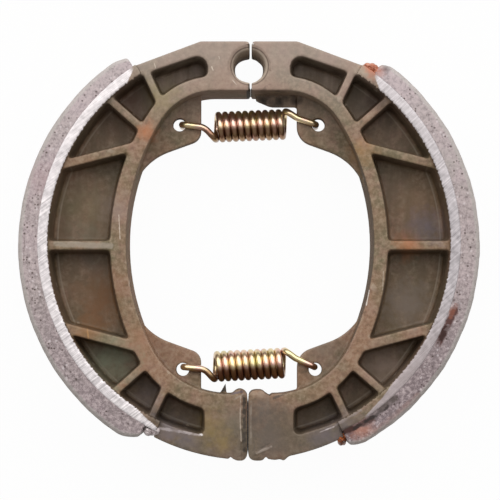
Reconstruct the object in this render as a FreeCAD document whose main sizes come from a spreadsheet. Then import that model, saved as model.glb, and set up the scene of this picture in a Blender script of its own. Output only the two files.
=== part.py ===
import FreeCAD, Part
import math
import os
import re

import Sketcher
from FreeCAD import Placement, Rotation, Vector

# Drum brake shoe set, 110 mm by 25 mm: two die-cast aluminium shoes with bonded linings,
# held against the anchor pin and the brake cam by two extension springs.
# Frame: the set lies flat on Z = 0, the drum axis is Z, the anchor end points to +Y
# and the cam end to -Y. The left shoe is at -X, and the right shoe is the same casting
# turned over about the Y axis. Every casting is modelled about its own mid-plane.
# Lengths are millimetres and angles are degrees.

SIZES = {
    # widths along the drum axis; the cast faces lie cast_step below the machined table edge
    "shoe_width": 25.0,
    "cast_step": 1.5,
    "web_thickness": 4.5,
    "wall_draft": 5.0,
    "rib_draft": 2.5,
    # table, the cylindrical wall that carries the lining; angles are about its own centre
    "table_radius": 49.85,
    "table_thickness": 2.6,
    "table_centre_x": 0.64,
    "table_centre_y": 2.0,
    "table_start": 122.0,
    "table_end": 244.5,
    # lining, a ring segment ground to the drum about its own centre, with both ends run down
    "lining_thickness": 3.95,
    "lining_centre_x": 1.14,
    "lining_centre_y_left": 1.0,
    "lining_centre_y_right": 1.26,
    "lining_span": 119.4,
    "lining_start_left": 121.8,
    "lining_start_right": 125.1,
    "anchor_taper_left": 4.5,
    "anchor_drop_left": 1.0,
    "cam_taper_left": 5.3,
    "cam_drop_left": 2.1,
    "anchor_taper_right": 3.0,
    "anchor_drop_right": 1.2,
    "cam_taper_right": 4.0,
    "cam_drop_right": 1.2,
    "lining_chamfer": 0.8,
    "bond_line": 0.05,
    # anchor end with its half-round seat
    "anchor_rise": 0.15,
    "anchor_flat": 11.5,
    "anchor_slope": 20.5,
    "anchor_gap": 0.45,
    "anchor_corner": 0.9,
    "seat_depth": 5.95,
    "seat_radius": 4.0,
    "seat_chamfer": 0.5,
    # cam end with its raised pad; its outer edge is an arc about the frame's centre
    "cam_rise": 0.3,
    "cam_step": 0.03,
    "cam_gap": 0.28,
    "cam_pad_length": 4.0,
    "cam_pad_over": 0.9,
    "cam_pad_under": 0.15,
    "cam_pad_corner": 1.6,
    "cam_pad_proud": 0.25,
    # inner edge of the shoe: two straight bars joined by three arcs
    "anchor_bar_depth": 11.8,
    "cam_bar_depth": 15.35,
    "waist_depth": 20.52,
    "waist_radius": 55.0,
    "waist_height": 2.1,
    "fettled_left": 0.0,
    "fettled_right": 0.45,
    "anchor_bend": 15.0,
    "cam_bend": 20.0,
    # walls round the field of pockets
    "anchor_rim": 3.4,
    "cam_rim": 4.0,
    "waist_rim": 3.5,
    "anchor_bar_wall": 2.6,
    "cam_wall_sink": 0.0117,
    "anchor_wall_slope": 19.0,
    "cam_wall_slope": 17.2,
    "field_anchor_end": 9.8,
    "field_cam_end": 10.6,
    "field_round": 2.6,
    "field_corner": 1.3,
    # spring ears, plates that run on from the web
    "ear_reach": 11.6,
    "ear_corner_left": 3.0,
    "ear_corner_right": 4.6,
    "ear_lean": 20.0,
    "ear_rise": 66.0,
    "ear_blend": 14.0,
    "ear_root": 4.2,
    "ear_run": 9.0,
    "anchor_ear_depth": 11.0,
    "cam_ear_depth": 9.6,
    "anchor_eye_inset": 5.2,
    "anchor_eye_depth": 7.45,
    "cam_eye_inset": 4.4,
    "cam_eye_depth": 5.8,
    "eye_radius": 1.6,
    # springs
    "wire": 1.56,
    "coil_diameter": 7.5,
    "coil_pitch": 1.62,
    "coil_turns": 10.5,
    "hook_lift": 0.25,
    "hook_turn": 1.7,
    "hook_sweep": 3.6,
    "hook_bend": 1.3,
    "hook_tail": 1.6,
    "hook_clearance": 0.2,
    "anchor_spring_x": 0.33,
    "anchor_spring_drop": 0.07,
    "anchor_spring_tilt": 2.4,
    "anchor_hook_seat": 0.0,
    "anchor_hook_slope_left": 50.0,
    "anchor_hook_run_left": 3.7,
    "anchor_hook_slope_right": 36.0,
    "anchor_hook_run_right": 3.2,
    "cam_spring_x": 0.1,
    "cam_spring_drop": 1.1,
    "cam_spring_tilt": 3.0,
    "cam_hook_seat": 70.0,
    "cam_hook_slope_left": 52.0,
    "cam_hook_run_left": 3.2,
    "cam_hook_slope_right": 40.0,
    "cam_hook_run_right": 3.0,
    # flash, thin skins of metal left at the parting line of the die
    "flash_thickness": 0.8,
    "fin_x": 5.7,
    "fin_height": 2.45,
    "fin_width": 1.9,
    "skin_start": 1.4,
    "skin_step": 1.5,
    "skin_foot": 5.2,
    "skin_drop": 3.1,
    # profiles that cut run on past the piece, and those that end in another wall run on into it
    "overrun": 5.0,
    "overlap": 1.0,
    "rib_length": 30.0,
}

# Ribs between the table and the inner rim: where a rib stands on the table, as an angle about
# the table's centre, the direction in which it runs inwards, and its thickness at the face.
RIBS = [
    (120.6, -64.4, 1.8),
    (133.8, -41.6, 1.8),
    (156.9, 14.2, 2.1),
    (181.0, 0.0, 2.3),
    (205.9, -14.7, 2.4),
    (228.8, 41.5, 1.8),
    (241.6, 64.9, 1.7),
]

# Sizes that follow from the others, each an expression of the sheet.
FOLLOWING = {
    "cast_width": "shoe_width - 2 * cast_step",
    "inner_wall": "table_radius - table_thickness",
    "lining_radius": "table_radius + lining_thickness",
    "anchor_top": "table_radius + anchor_rise",
    "anchor_bar_inner": "anchor_top - anchor_bar_depth",
    "seat_height": "anchor_top - seat_depth",
    "cam_bottom": "table_radius - cam_rise",
    "cam_radius": "table_radius - cam_step",
    "cam_bar_inner": "cam_bottom - cam_bar_depth",
    "cam_pad_top": "cam_bar_inner - cam_pad_over",
    "cam_pad_bottom": "table_radius + cam_pad_under",
    "waist": "table_radius - waist_depth",
    "rim_outer_radius": "waist_radius + waist_rim",
    "anchor_bend_y": "anchor_bar_inner - anchor_bend",
    "anchor_bend_x": "waist_radius - waist - sqrt(pow(waist_radius - anchor_bend; 2)"
                     " - pow(anchor_bend_y - waist_height; 2))",
    "cam_bend_y": "cam_bend - cam_bar_inner",
    "cam_bend_x": "waist_radius - waist - sqrt(pow(waist_radius - cam_bend; 2)"
                  " - pow(cam_bend_y - waist_height; 2))",
    "anchor_wall_y": "anchor_top - anchor_bar_wall",
    "cam_wall_y": "table_centre_y - cam_wall_sink"
                  " - sqrt(pow(inner_wall; 2) - pow(field_cam_end - table_centre_x; 2))",
    "anchor_ear_edge": "anchor_bar_inner - anchor_ear_depth",
    "cam_ear_edge": "cam_bar_inner - cam_ear_depth",
    "anchor_eye_x": "ear_reach + anchor_eye_inset",
    "anchor_eye_y": "anchor_bar_inner - anchor_eye_depth",
    "cam_eye_x": "ear_reach + cam_eye_inset",
    "cam_eye_y": "cam_bar_inner - cam_eye_depth",
    "anchor_spring_y": "anchor_eye_y - anchor_spring_drop",
    "cam_spring_y": "cam_spring_drop - cam_eye_y",
}

doc = FreeCAD.newDocument("brake_shoe_set")


def make_sheet():
    """The driving dimensions, one named cell each."""
    sheet = doc.addObject("Spreadsheet::Sheet", "Sizes")
    values = dict(SIZES)
    for number, (angle, lean, thickness) in enumerate(RIBS, 1):
        values["rib%d_angle" % number] = angle
        values["rib%d_lean" % number] = lean
        values["rib%d_thickness" % number] = thickness
    for row, (name, value) in enumerate(values.items(), 1):
        sheet.set("A%d" % row, name)
        sheet.set("B%d" % row, str(value))
        sheet.setAlias("B%d" % row, name)
    doc.recompute()
    return sheet, set(values)


sheet, sheet_names = make_sheet()


def cells(expression):
    """The expression with each size name written as its cell, or as what it follows from."""
    def reference(match):
        name = match.group()
        if name in FOLLOWING:
            return "(%s)" % cells(FOLLOWING[name])
        return "Sizes." + name if name in sheet_names else name
    return re.sub(r"[a-z]\w*", reference, expression)


def size(expression):
    """What an expression of the sheet's sizes comes to."""
    return float(sheet.evalExpression(cells(expression)))


def bind(item, prop, expression):
    """Tie one property of an object to the sheet."""
    item.setExpression(prop, cells(expression))


# Plane geometry for the starting shape of the sketches

def polar(centre, radius, angle):
    """The point at an angle on a circle."""
    turn = math.radians(angle)
    return (centre[0] + radius * math.cos(turn), centre[1] + radius * math.sin(turn))


def bearing(origin, target):
    """The direction from one point to another, from 0 to 360 degrees."""
    return math.degrees(math.atan2(target[1] - origin[1], target[0] - origin[0])) % 360.0


def ray_to_circle(start, angle, centre, radius):
    """Where a ray leaves a circle."""
    along = (math.cos(math.radians(angle)), math.sin(math.radians(angle)))
    offset = (start[0] - centre[0], start[1] - centre[1])
    middle = offset[0] * along[0] + offset[1] * along[1]
    gap = offset[0] ** 2 + offset[1] ** 2 - radius ** 2
    reach = math.sqrt(middle ** 2 - gap)
    travel = reach - middle
    return (start[0] + travel * along[0], start[1] + travel * along[1])


def circles_meet(first, first_radius, second, second_radius):
    """The right-hand one of the two points where two circles meet."""
    gap_x = second[0] - first[0]
    gap_y = second[1] - first[1]
    gap = math.hypot(gap_x, gap_y)
    along = (gap ** 2 + first_radius ** 2 - second_radius ** 2) / (2.0 * gap)
    across = math.sqrt(first_radius ** 2 - along ** 2)
    foot = (first[0] + along * gap_x / gap, first[1] + along * gap_y / gap)
    one = (foot[0] - across * gap_y / gap, foot[1] + across * gap_x / gap)
    other = (foot[0] + across * gap_y / gap, foot[1] - across * gap_x / gap)
    return max(one, other)


def origin_plane(body, role):
    """One of the body's own origin planes."""
    return [feature for feature in body.Origin.OriginFeatures if feature.Role == role][0]


class Profile:
    """A sketch on one of the body's own planes, whose constraints are tied to the sheet.

    Edges are numbered as they are drawn. Point 1 is an edge's start, 2 its end, 3 its centre.
    """

    def __init__(self, body, name, role="XY_Plane"):
        self.sketch = body.newObject("Sketcher::SketchObject", name)
        self.sketch.AttachmentSupport = [(origin_plane(body, role), "")]
        self.sketch.MapMode = "FlatFace"

    def line(self, start, end):
        edge = Part.LineSegment(Vector(start[0], start[1], 0), Vector(end[0], end[1], 0))
        return self.sketch.addGeometry(edge, False)

    def arc(self, centre, radius, start, end):
        """A counter-clockwise arc from one angle to another."""
        circle = Part.Circle(Vector(centre[0], centre[1], 0), Vector(0, 0, 1), radius)
        edge = Part.ArcOfCircle(circle, math.radians(start), math.radians(end))
        return self.sketch.addGeometry(edge, False)

    def circle(self, x, y, radius):
        """A circle whose centre and radius are expressions."""
        circle = Part.Circle(Vector(size(x), size(y), 0), Vector(0, 0, 1), size(radius))
        edge = self.sketch.addGeometry(circle, False)
        self.place(edge, 3, x, y)
        self.measure("Radius", (edge,), radius)

    def rule(self, kind, *parts):
        """A constraint with no size."""
        return self.sketch.addConstraint(Sketcher.Constraint(kind, *parts))

    def measure(self, kind, parts, expression):
        """A constraint with a size, which follows the sheet."""
        amount = size(expression)
        if kind == "Angle":
            amount = math.radians(amount)
        index = self.sketch.addConstraint(Sketcher.Constraint(kind, *parts, amount))
        label = re.findall(r"[a-z]\w+", expression)
        name = "%s_%d" % (label[0] if label else kind.lower(), index)
        self.sketch.renameConstraint(index, name)
        bind(self.sketch, "Constraints." + name, expression)

    def place(self, edge, point, x=None, y=None):
        """Set how far a point lies from the origin, to the right and up."""
        for kind, axis, expression in (("DistanceX", -2, x), ("DistanceY", -1, y)):
            if expression is None:
                continue
            amount = size(expression)
            if abs(amount) < 1e-9:
                self.rule("PointOnObject", edge, point, axis)
            elif amount > 0.0:
                self.measure(kind, (-1, 1, edge, point), expression)
            else:
                self.measure(kind, (edge, point, -1, 1), "-(%s)" % expression)

    def corner(self, first, second, x=None, y=None):
        """A construction point where two straight edges would cross."""
        amount = Vector(size(x), size(y), 0)
        point = self.sketch.addGeometry(Part.Point(amount), True)
        self.rule("PointOnObject", point, 1, first)
        self.rule("PointOnObject", point, 1, second)
        self.place(point, 1, x, y)

    def polygon(self, corners):
        """Straight edges through corners given as (x, y, rounding), each an expression."""
        points = [Vector(size(x), size(y), 0) for x, y, rounding in corners]
        count = len(points)
        cuts = []
        for index, (x, y, rounding) in enumerate(corners):
            inward = (points[index] - points[index - 1]).normalize()
            outward = (points[(index + 1) % count] - points[index]).normalize()
            turn = inward.getAngle(outward)
            cut = size(rounding) * math.tan(turn / 2.0) if rounding else 0.0
            cuts.append((inward, outward, cut))
        lines = []
        for index in range(count):
            following = (index + 1) % count
            start = points[index] + cuts[index][1] * cuts[index][2]
            end = points[following] - cuts[following][0] * cuts[following][2]
            lines.append(self.line(start, end))
        for index, (x, y, rounding) in enumerate(corners):
            before = lines[index - 1]
            after = lines[index]
            if not rounding:
                self.rule("Coincident", before, 2, after, 1)
                self.place(after, 1, x, y)
                continue
            self.corner(before, after, x, y)
            self.round_off(points[index], cuts[index], size(rounding), before, after, rounding)

    def round_off(self, point, cut, radius, before, after, rounding):
        """The tangent arc at one corner of a polygon."""
        inward, outward, length = cut
        left = inward.cross(outward).z > 0.0
        side = Vector(-inward.y, inward.x, 0) if left else Vector(inward.y, -inward.x, 0)
        centre = point - inward * length + side * radius
        first = bearing(centre, point - inward * length)
        last = bearing(centre, point + outward * length)
        if not left:
            first, last = last, first
        if last < first:
            last += 360.0
        edge = self.arc(centre, radius, first, last)
        near, far = (1, 2) if left else (2, 1)
        self.rule("Tangent", before, 2, edge, near)
        self.rule("Tangent", edge, far, after, 1)
        self.measure("Radius", (edge,), rounding)


def pad(body, name, profile, width, draft=None):
    """A pad that grows to both sides of the casting's mid-plane."""
    feature = body.newObject("PartDesign::Pad", name)
    feature.Profile = profile.sketch
    feature.SideType = "Symmetric"
    bind(feature, "Length", width)
    if draft:
        bind(feature, "TaperAngle", "-" + draft)
    return feature


def cut_through(body, name, profile):
    """A pocket right through the piece, to both sides of the mid-plane."""
    feature = body.newObject("PartDesign::Pocket", name)
    feature.Profile = profile.sketch
    feature.SideType = "Symmetric"
    bind(feature, "Length", "shoe_width + overrun")
    return feature


def new_body(label):
    """An empty body that lies with its mid-plane at half the shoe's width."""
    body = doc.addObject("PartDesign::Body", label)
    body.Label = label
    bind(body, "Placement.Base.z", "shoe_width / 2")
    return body


def turn_over(body):
    """Turn a body over about the Y axis, which makes it the right-hand one."""
    body.Placement = Placement(body.Placement.Base, Rotation(Vector(0, 1, 0), 180))


# Shoe casting

def draw_side(body):
    """The outer edge: anchor end, slope, table, shoulder, cam end, and a straight back."""
    profile = Profile(body, "side_outline")
    table = (size("-table_centre_x"), size("table_centre_y"))
    face_x = size("-anchor_gap / 2")
    cam_x = size("-(cam_gap / 2 + cam_pad_corner)")
    cam_radius = size("cam_radius")
    top = size("anchor_top")
    bottom = size("-cam_bottom")
    corner = size("anchor_corner")
    brow = (size("-anchor_flat"), top)
    toe = (-math.sqrt(cam_radius ** 2 - bottom ** 2), bottom)
    slope_foot = ray_to_circle(brow, 180.0 + size("anchor_slope"), table, size("table_radius"))
    step_foot = polar(table, size("table_radius"), size("table_end"))
    step_top = ray_to_circle(table, size("table_end"), (0.0, 0.0), cam_radius)

    cam_face = profile.line((cam_x, bottom), (cam_x, 0.0))
    ledge = profile.line((cam_x, 0.0), (face_x, 0.0))
    anchor_face = profile.line((face_x, 0.0), (face_x, top - corner))
    rounding = profile.arc((face_x - corner, top - corner), corner, 0.0, 90.0)
    flat = profile.line((face_x - corner, top), brow)
    slope = profile.line(slope_foot, brow)
    table_arc = profile.arc(table, size("table_radius"), bearing(table, slope_foot), size("table_end"))
    shoulder = profile.line(step_top, step_foot)
    lower = profile.arc((0.0, 0.0), cam_radius, bearing((0.0, 0.0), step_top), bearing((0.0, 0.0), toe))
    base = profile.line(toe, (cam_x, bottom))

    profile.rule("Coincident", cam_face, 2, ledge, 1)
    profile.rule("Coincident", ledge, 2, anchor_face, 1)
    profile.rule("Tangent", anchor_face, 2, rounding, 1)
    profile.rule("Tangent", rounding, 2, flat, 1)
    profile.rule("Coincident", flat, 2, slope, 2)
    profile.rule("Coincident", slope, 1, table_arc, 1)
    profile.rule("Coincident", table_arc, 2, shoulder, 2)
    profile.rule("Coincident", shoulder, 1, lower, 1)
    profile.rule("Coincident", lower, 2, base, 1)
    profile.rule("Coincident", base, 2, cam_face, 1)
    profile.rule("Vertical", cam_face)
    profile.rule("Vertical", anchor_face)
    profile.rule("Horizontal", ledge)
    profile.rule("Horizontal", base)
    profile.rule("Horizontal", flat)
    profile.place(ledge, 1, "-(cam_gap / 2 + cam_pad_corner)", "0")
    profile.place(anchor_face, 1, "-anchor_gap / 2")
    profile.measure("Radius", (rounding,), "anchor_corner")
    profile.place(flat, 2, "-anchor_flat", "anchor_top")
    profile.measure("Angle", (slope,), "anchor_slope")
    profile.place(table_arc, 3, "-table_centre_x", "table_centre_y")
    profile.measure("Radius", (table_arc,), "table_radius")
    profile.rule("PointOnObject", table_arc, 3, shoulder)
    profile.measure("Angle", (shoulder,), "table_end - 180")
    profile.rule("Coincident", lower, 3, -1, 1)
    profile.measure("Radius", (lower,), "cam_radius")
    profile.place(lower, 2, None, "-cam_bottom")
    return profile


def draw_sector(profile, centre, inner_centre, outer, inner, start, end):
    """A ring segment between two arcs and two ends that point at the outer arc's centre."""
    middle = (size(centre[0]), size(centre[1]))
    inner_middle = (size(inner_centre[0]), size(inner_centre[1]))
    first = ray_to_circle(middle, size(start), inner_middle, size(inner))
    last = ray_to_circle(middle, size(end), inner_middle, size(inner))
    outer_arc = profile.arc(middle, size(outer), size(start), size(end))
    inner_arc = profile.arc(inner_middle, size(inner), bearing(inner_middle, first), bearing(inner_middle, last))
    first_end = profile.line(first, polar(middle, size(outer), size(start)))
    last_end = profile.line(polar(middle, size(outer), size(end)), last)
    profile.rule("Coincident", first_end, 2, outer_arc, 1)
    profile.rule("Coincident", outer_arc, 2, last_end, 1)
    profile.rule("Coincident", last_end, 2, inner_arc, 2)
    profile.rule("Coincident", inner_arc, 1, first_end, 1)
    profile.measure("Radius", (outer_arc,), outer)
    profile.measure("Radius", (inner_arc,), inner)
    profile.place(outer_arc, 3, *centre)
    profile.place(inner_arc, 3, *inner_centre)
    profile.rule("PointOnObject", outer_arc, 3, first_end)
    profile.rule("PointOnObject", outer_arc, 3, last_end)
    profile.measure("Angle", (first_end,), start)
    profile.measure("Angle", (last_end,), "%s - 180" % end)


def draw_field(body):
    """The field of pockets between the table, the two bars and the inner rim."""
    profile = Profile(body, "pocket_field")
    bind(profile.sketch, "AttachmentOffset.Base.z", "cast_width / 2")
    table = (size("-table_centre_x"), size("table_centre_y"))
    wall = size("inner_wall")
    anchor_x = size("-field_anchor_end")
    cam_x = size("-field_cam_end")
    upper_slope = size("anchor_wall_slope")
    lower_slope = size("cam_wall_slope")
    upper = (anchor_x, size("anchor_wall_y"))
    lower = (cam_x, size("cam_wall_y"))
    big = size("field_round")
    small = size("field_corner")

    # centres of the rim's arcs and of the four roundings
    anchor_bend = (size("anchor_bend_x"), size("anchor_bend_y"))
    cam_bend = (size("cam_bend_x"), size("cam_bend_y"))
    anchor_radius = size("anchor_bend + anchor_rim")
    cam_radius = size("cam_bend + cam_rim")
    rim_radius = size("rim_outer_radius")
    rim = circles_meet(anchor_bend, rim_radius - anchor_radius, cam_bend, rim_radius - cam_radius)
    upper_drop = (1.0 + math.sin(math.radians(upper_slope))) / math.cos(math.radians(upper_slope))
    lower_rise = (1.0 + math.sin(math.radians(lower_slope))) / math.cos(math.radians(lower_slope))
    upper_round = (anchor_x - big, upper[1] - big * upper_drop)
    lower_round = (cam_x - small, lower[1] + small * lower_rise)
    cam_side = cam_x - small - cam_bend[0]
    cam_round = (cam_x - small, cam_bend[1] - math.sqrt((cam_radius + small) ** 2 - cam_side ** 2))
    anchor_side = anchor_x - small - anchor_bend[0]
    anchor_rise = math.sqrt((anchor_radius + small) ** 2 - anchor_side ** 2)
    anchor_round = (anchor_x - small, anchor_bend[1] + anchor_rise)

    # edges, counter-clockwise from the anchor end
    end_wall = profile.line((anchor_x, anchor_round[1]), (anchor_x, upper_round[1]))
    corner_1 = profile.arc(upper_round, big, 0.0, 90.0 + upper_slope)
    upper_foot = ray_to_circle(upper, 180.0 + upper_slope, table, wall)
    upper_wall = profile.line(upper_foot, polar(upper_round, big, 90.0 + upper_slope))
    lower_foot = ray_to_circle(lower, 180.0 - lower_slope, table, wall)
    table_arc = profile.arc(table, wall, bearing(table, upper_foot), bearing(table, lower_foot))
    lower_wall = profile.line(lower_foot, polar(lower_round, small, 270.0 - lower_slope))
    corner_2 = profile.arc(lower_round, small, 270.0 - lower_slope, 360.0)
    cam_wall = profile.line((cam_x, lower_round[1]), (cam_x, cam_round[1]))
    corner_3 = profile.arc(cam_round, small, 0.0, bearing(cam_round, cam_bend))
    cam_arc = profile.arc(cam_bend, cam_radius, bearing(rim, cam_bend), bearing(cam_bend, cam_round))
    rim_arc = profile.arc(rim, rim_radius, bearing(rim, anchor_bend), bearing(rim, cam_bend))
    anchor_arc = profile.arc(
        anchor_bend, anchor_radius, bearing(anchor_bend, anchor_round), bearing(rim, anchor_bend))
    corner_4 = profile.arc(anchor_round, small, bearing(anchor_round, anchor_bend), 360.0)

    profile.rule("Tangent", end_wall, 2, corner_1, 1)
    profile.rule("Tangent", corner_1, 2, upper_wall, 2)
    profile.rule("Coincident", upper_wall, 1, table_arc, 1)
    profile.rule("Coincident", table_arc, 2, lower_wall, 1)
    profile.rule("Tangent", lower_wall, 2, corner_2, 1)
    profile.rule("Tangent", corner_2, 2, cam_wall, 1)
    profile.rule("Tangent", cam_wall, 2, corner_3, 1)
    profile.rule("Tangent", corner_3, 2, cam_arc, 2)
    profile.rule("Tangent", cam_arc, 1, rim_arc, 2)
    profile.rule("Tangent", rim_arc, 1, anchor_arc, 2)
    profile.rule("Tangent", anchor_arc, 1, corner_4, 1)
    profile.rule("Tangent", corner_4, 2, end_wall, 1)
    profile.rule("Vertical", end_wall)
    profile.rule("Vertical", cam_wall)
    profile.corner(end_wall, upper_wall, "-field_anchor_end", "anchor_wall_y")
    profile.corner(cam_wall, lower_wall, "-field_cam_end", "cam_wall_y")
    profile.measure("Angle", (upper_wall,), "anchor_wall_slope")
    profile.measure("Angle", (lower_wall,), "-cam_wall_slope")
    profile.place(table_arc, 3, "-table_centre_x", "table_centre_y")
    profile.measure("Radius", (table_arc,), "inner_wall")
    profile.place(anchor_arc, 3, "anchor_bend_x", "anchor_bend_y")
    profile.measure("Radius", (anchor_arc,), "anchor_bend + anchor_rim")
    profile.place(cam_arc, 3, "cam_bend_x", "cam_bend_y")
    profile.measure("Radius", (cam_arc,), "cam_bend + cam_rim")
    profile.measure("Radius", (rim_arc,), "rim_outer_radius")
    profile.measure("Radius", (corner_1,), "field_round")
    for corner in (corner_2, corner_3, corner_4):
        profile.measure("Radius", (corner,), "field_corner")
    return profile


def draw_opening(body, side):
    """Everything inside the shoe's inner edge, as far as the gap between the shoes."""
    profile = Profile(body, "inner_opening")
    fettled = "fettled_" + side
    waist = (size("waist_radius - waist - " + fettled), size("waist_height"))
    anchor_bend = (size("anchor_bend_x - " + fettled), size("anchor_bend_y"))
    cam_bend = (size("cam_bend_x - " + fettled), size("cam_bend_y"))
    right = size("overrun")
    top = size("anchor_bar_inner")
    bottom = size("-cam_bar_inner")
    first = bearing(waist, anchor_bend)
    last = bearing(waist, cam_bend)
    upper = profile.line((right, top), (anchor_bend[0], top))
    anchor_arc = profile.arc(anchor_bend, size("anchor_bend"), 90.0, first)
    waist_arc = profile.arc(waist, size("waist_radius"), first, last)
    cam_arc = profile.arc(cam_bend, size("cam_bend"), last, 270.0)
    lower = profile.line((cam_bend[0], bottom), (right, bottom))
    back = profile.line((right, bottom), (right, top))
    profile.rule("Tangent", upper, 2, anchor_arc, 1)
    profile.rule("Tangent", anchor_arc, 2, waist_arc, 1)
    profile.rule("Tangent", waist_arc, 2, cam_arc, 1)
    profile.rule("Tangent", cam_arc, 2, lower, 1)
    profile.rule("Coincident", lower, 2, back, 1)
    profile.rule("Coincident", back, 2, upper, 1)
    profile.rule("Horizontal", upper)
    profile.rule("Horizontal", lower)
    profile.rule("Vertical", back)
    profile.place(upper, 1, "overrun", "anchor_bar_inner")
    profile.place(lower, 2, None, "-cam_bar_inner")
    profile.place(waist_arc, 3, "waist_radius - waist - " + fettled, "waist_height")
    profile.measure("Radius", (anchor_arc,), "anchor_bend")
    profile.measure("Radius", (waist_arc,), "waist_radius")
    profile.measure("Radius", (cam_arc,), "cam_bend")
    return profile


def add_rib(body, number):
    """One rib: a drafted bar that starts inside the table's wall and runs inwards."""
    rib = "rib%d_" % number
    profile = Profile(body, "rib_%d_outline" % number)
    half = "(%sthickness / 2 + cast_width / 2 * tan(rib_draft))" % rib
    root = "-table_thickness / 2"
    profile.polygon([
        (root, "-" + half, None),
        ("rib_length", "-" + half, None),
        ("rib_length", half, None),
        (root, half, None),
    ])
    angle = rib + "angle"
    bind(profile.sketch, "AttachmentOffset.Base.x", "inner_wall * cos(%s) - table_centre_x" % angle)
    bind(profile.sketch, "AttachmentOffset.Base.y", "inner_wall * sin(%s) + table_centre_y" % angle)
    bind(profile.sketch, "AttachmentOffset.Rotation.Angle", rib + "lean")
    return pad(body, "rib_%d" % number, profile, "cast_width", "rib_draft")


def add_ear(body, name, edge, bar, sign, side):
    """A plate on the mid-plane that carries one spring eye; the sign is "-" at the cam end.

    Its back lies inside the bar and the rim, so that no slot is left between them.
    """
    profile = Profile(body, name + "_outline")
    root_y = "(%s - (waist - ear_root - ear_reach) * tan(ear_lean))" % edge
    foot_x = "(waist - ear_root + ear_run * cos(ear_rise))"
    foot_y = "(%s - ear_run * sin(ear_rise))" % root_y
    profile.polygon([
        ("-ear_reach", "%s(%s + overlap)" % (sign, bar), None),
        ("-ear_reach", sign + edge, "ear_corner_" + side),
        ("-(waist - ear_root)", sign + root_y, "ear_blend"),
        ("-" + foot_x, sign + foot_y, None),
        ("-(waist + 2 * overlap)", sign + root_y, None),
        ("-(waist - ear_root)", "%s(%s - ear_root)" % (sign, bar), None),
    ])
    return pad(body, name, profile, "web_thickness")


def add_seat(body):
    """The half-round seat for the anchor pin, with a chamfer at both faces."""
    profile = Profile(body, "seat_outline", "YZ_Plane")
    bind(profile.sketch, "AttachmentOffset.Base.x", "seat_height")
    outside = "(cast_width / 2 + overrun)"
    straight = "(cast_width / 2 - seat_chamfer)"
    profile.polygon([
        ("0", "-" + outside, None),
        ("seat_radius + seat_chamfer + overrun", "-" + outside, None),
        ("seat_radius", "-" + straight, None),
        ("seat_radius", straight, None),
        ("seat_radius + seat_chamfer + overrun", outside, None),
        ("0", outside, None),
    ])
    groove = body.newObject("PartDesign::Groove", "seat")
    groove.Profile = profile.sketch
    groove.ReferenceAxis = (profile.sketch, ["V_Axis"])
    groove.Angle = 360.0
    return groove


def add_fin(body):
    """A triangular flash fin that stands on the cam bar, up to the lower spring."""
    profile = Profile(body, "fin_outline")
    profile.polygon([
        ("-(fin_x + fin_width)", "-(cam_bar_inner + overlap)", None),
        ("-(fin_x - fin_width / 4)", "-(cam_bar_inner + overlap)", None),
        ("-fin_x", "-(cam_bar_inner - fin_height)", None),
    ])
    return pad(body, "flash_fin", profile, "flash_thickness")


def add_skin(body):
    """A thin skin of flash between the anchor bar and the spring ear."""
    profile = Profile(body, "skin_outline")
    profile.polygon([
        ("-skin_start", "anchor_bar_inner + overlap", None),
        ("-skin_start", "anchor_bar_inner - skin_step", None),
        ("-skin_foot", "anchor_bar_inner - skin_drop", "skin_step"),
        ("-(ear_reach + overlap)", "anchor_bar_inner - skin_drop", None),
        ("-(ear_reach + overlap)", "anchor_bar_inner + overlap", None),
    ])
    return pad(body, "flash_skin", profile, "flash_thickness")


def make_casting(label, side, add_flash):
    """One die-cast shoe, symmetric about its mid-plane."""
    body = new_body(label)
    pad(body, "blank", draw_side(body), "cast_width")

    ring = Profile(body, "table_outline")
    centre = ("-table_centre_x", "table_centre_y")
    draw_sector(ring, centre, centre, "table_radius", "inner_wall", "table_start", "table_end")
    table = pad(body, "table", ring, "shoe_width")
    doc.recompute()

    field = body.newObject("PartDesign::Pocket", "pockets_front")
    field.Profile = draw_field(body).sketch
    bind(field, "Length", "(cast_width - web_thickness) / 2")
    bind(field, "TaperAngle", "-wall_draft")
    doc.recompute()
    both = body.newObject("PartDesign::Mirrored", "pockets_back")
    both.Originals = [field]
    both.MirrorPlane = (origin_plane(body, "XY_Plane"), [""])
    body.Tip = both
    doc.recompute()

    for number in range(1, len(RIBS) + 1):
        add_rib(body, number)
    cut_through(body, "opening", draw_opening(body, side))
    add_ear(body, "anchor_ear", "anchor_ear_edge", "anchor_bar_inner", "", side)
    add_ear(body, "cam_ear", "cam_ear_edge", "cam_bar_inner", "-", side)
    eyes = Profile(body, "eyes_outline")
    eyes.circle("-anchor_eye_x", "anchor_eye_y", "eye_radius")
    eyes.circle("-cam_eye_x", "-cam_eye_y", "eye_radius")
    cut_through(body, "eyes", eyes)
    doc.recompute()
    add_seat(body)

    end = Profile(body, "cam_pad_outline")
    near = "-cam_gap / 2"
    far = "-(cam_gap / 2 + cam_pad_length)"
    end.polygon([
        (near, "-cam_pad_top", "cam_pad_corner"),
        (far, "-cam_pad_top", "cam_pad_corner"),
        (far, "-cam_pad_bottom", "cam_pad_corner"),
        (near, "-cam_pad_bottom", "cam_pad_corner"),
    ])
    pad(body, "cam_pad", end, "cast_width + 2 * cam_pad_proud")
    body.Tip = add_flash(body)
    doc.recompute()
    return body


# Lining

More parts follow.
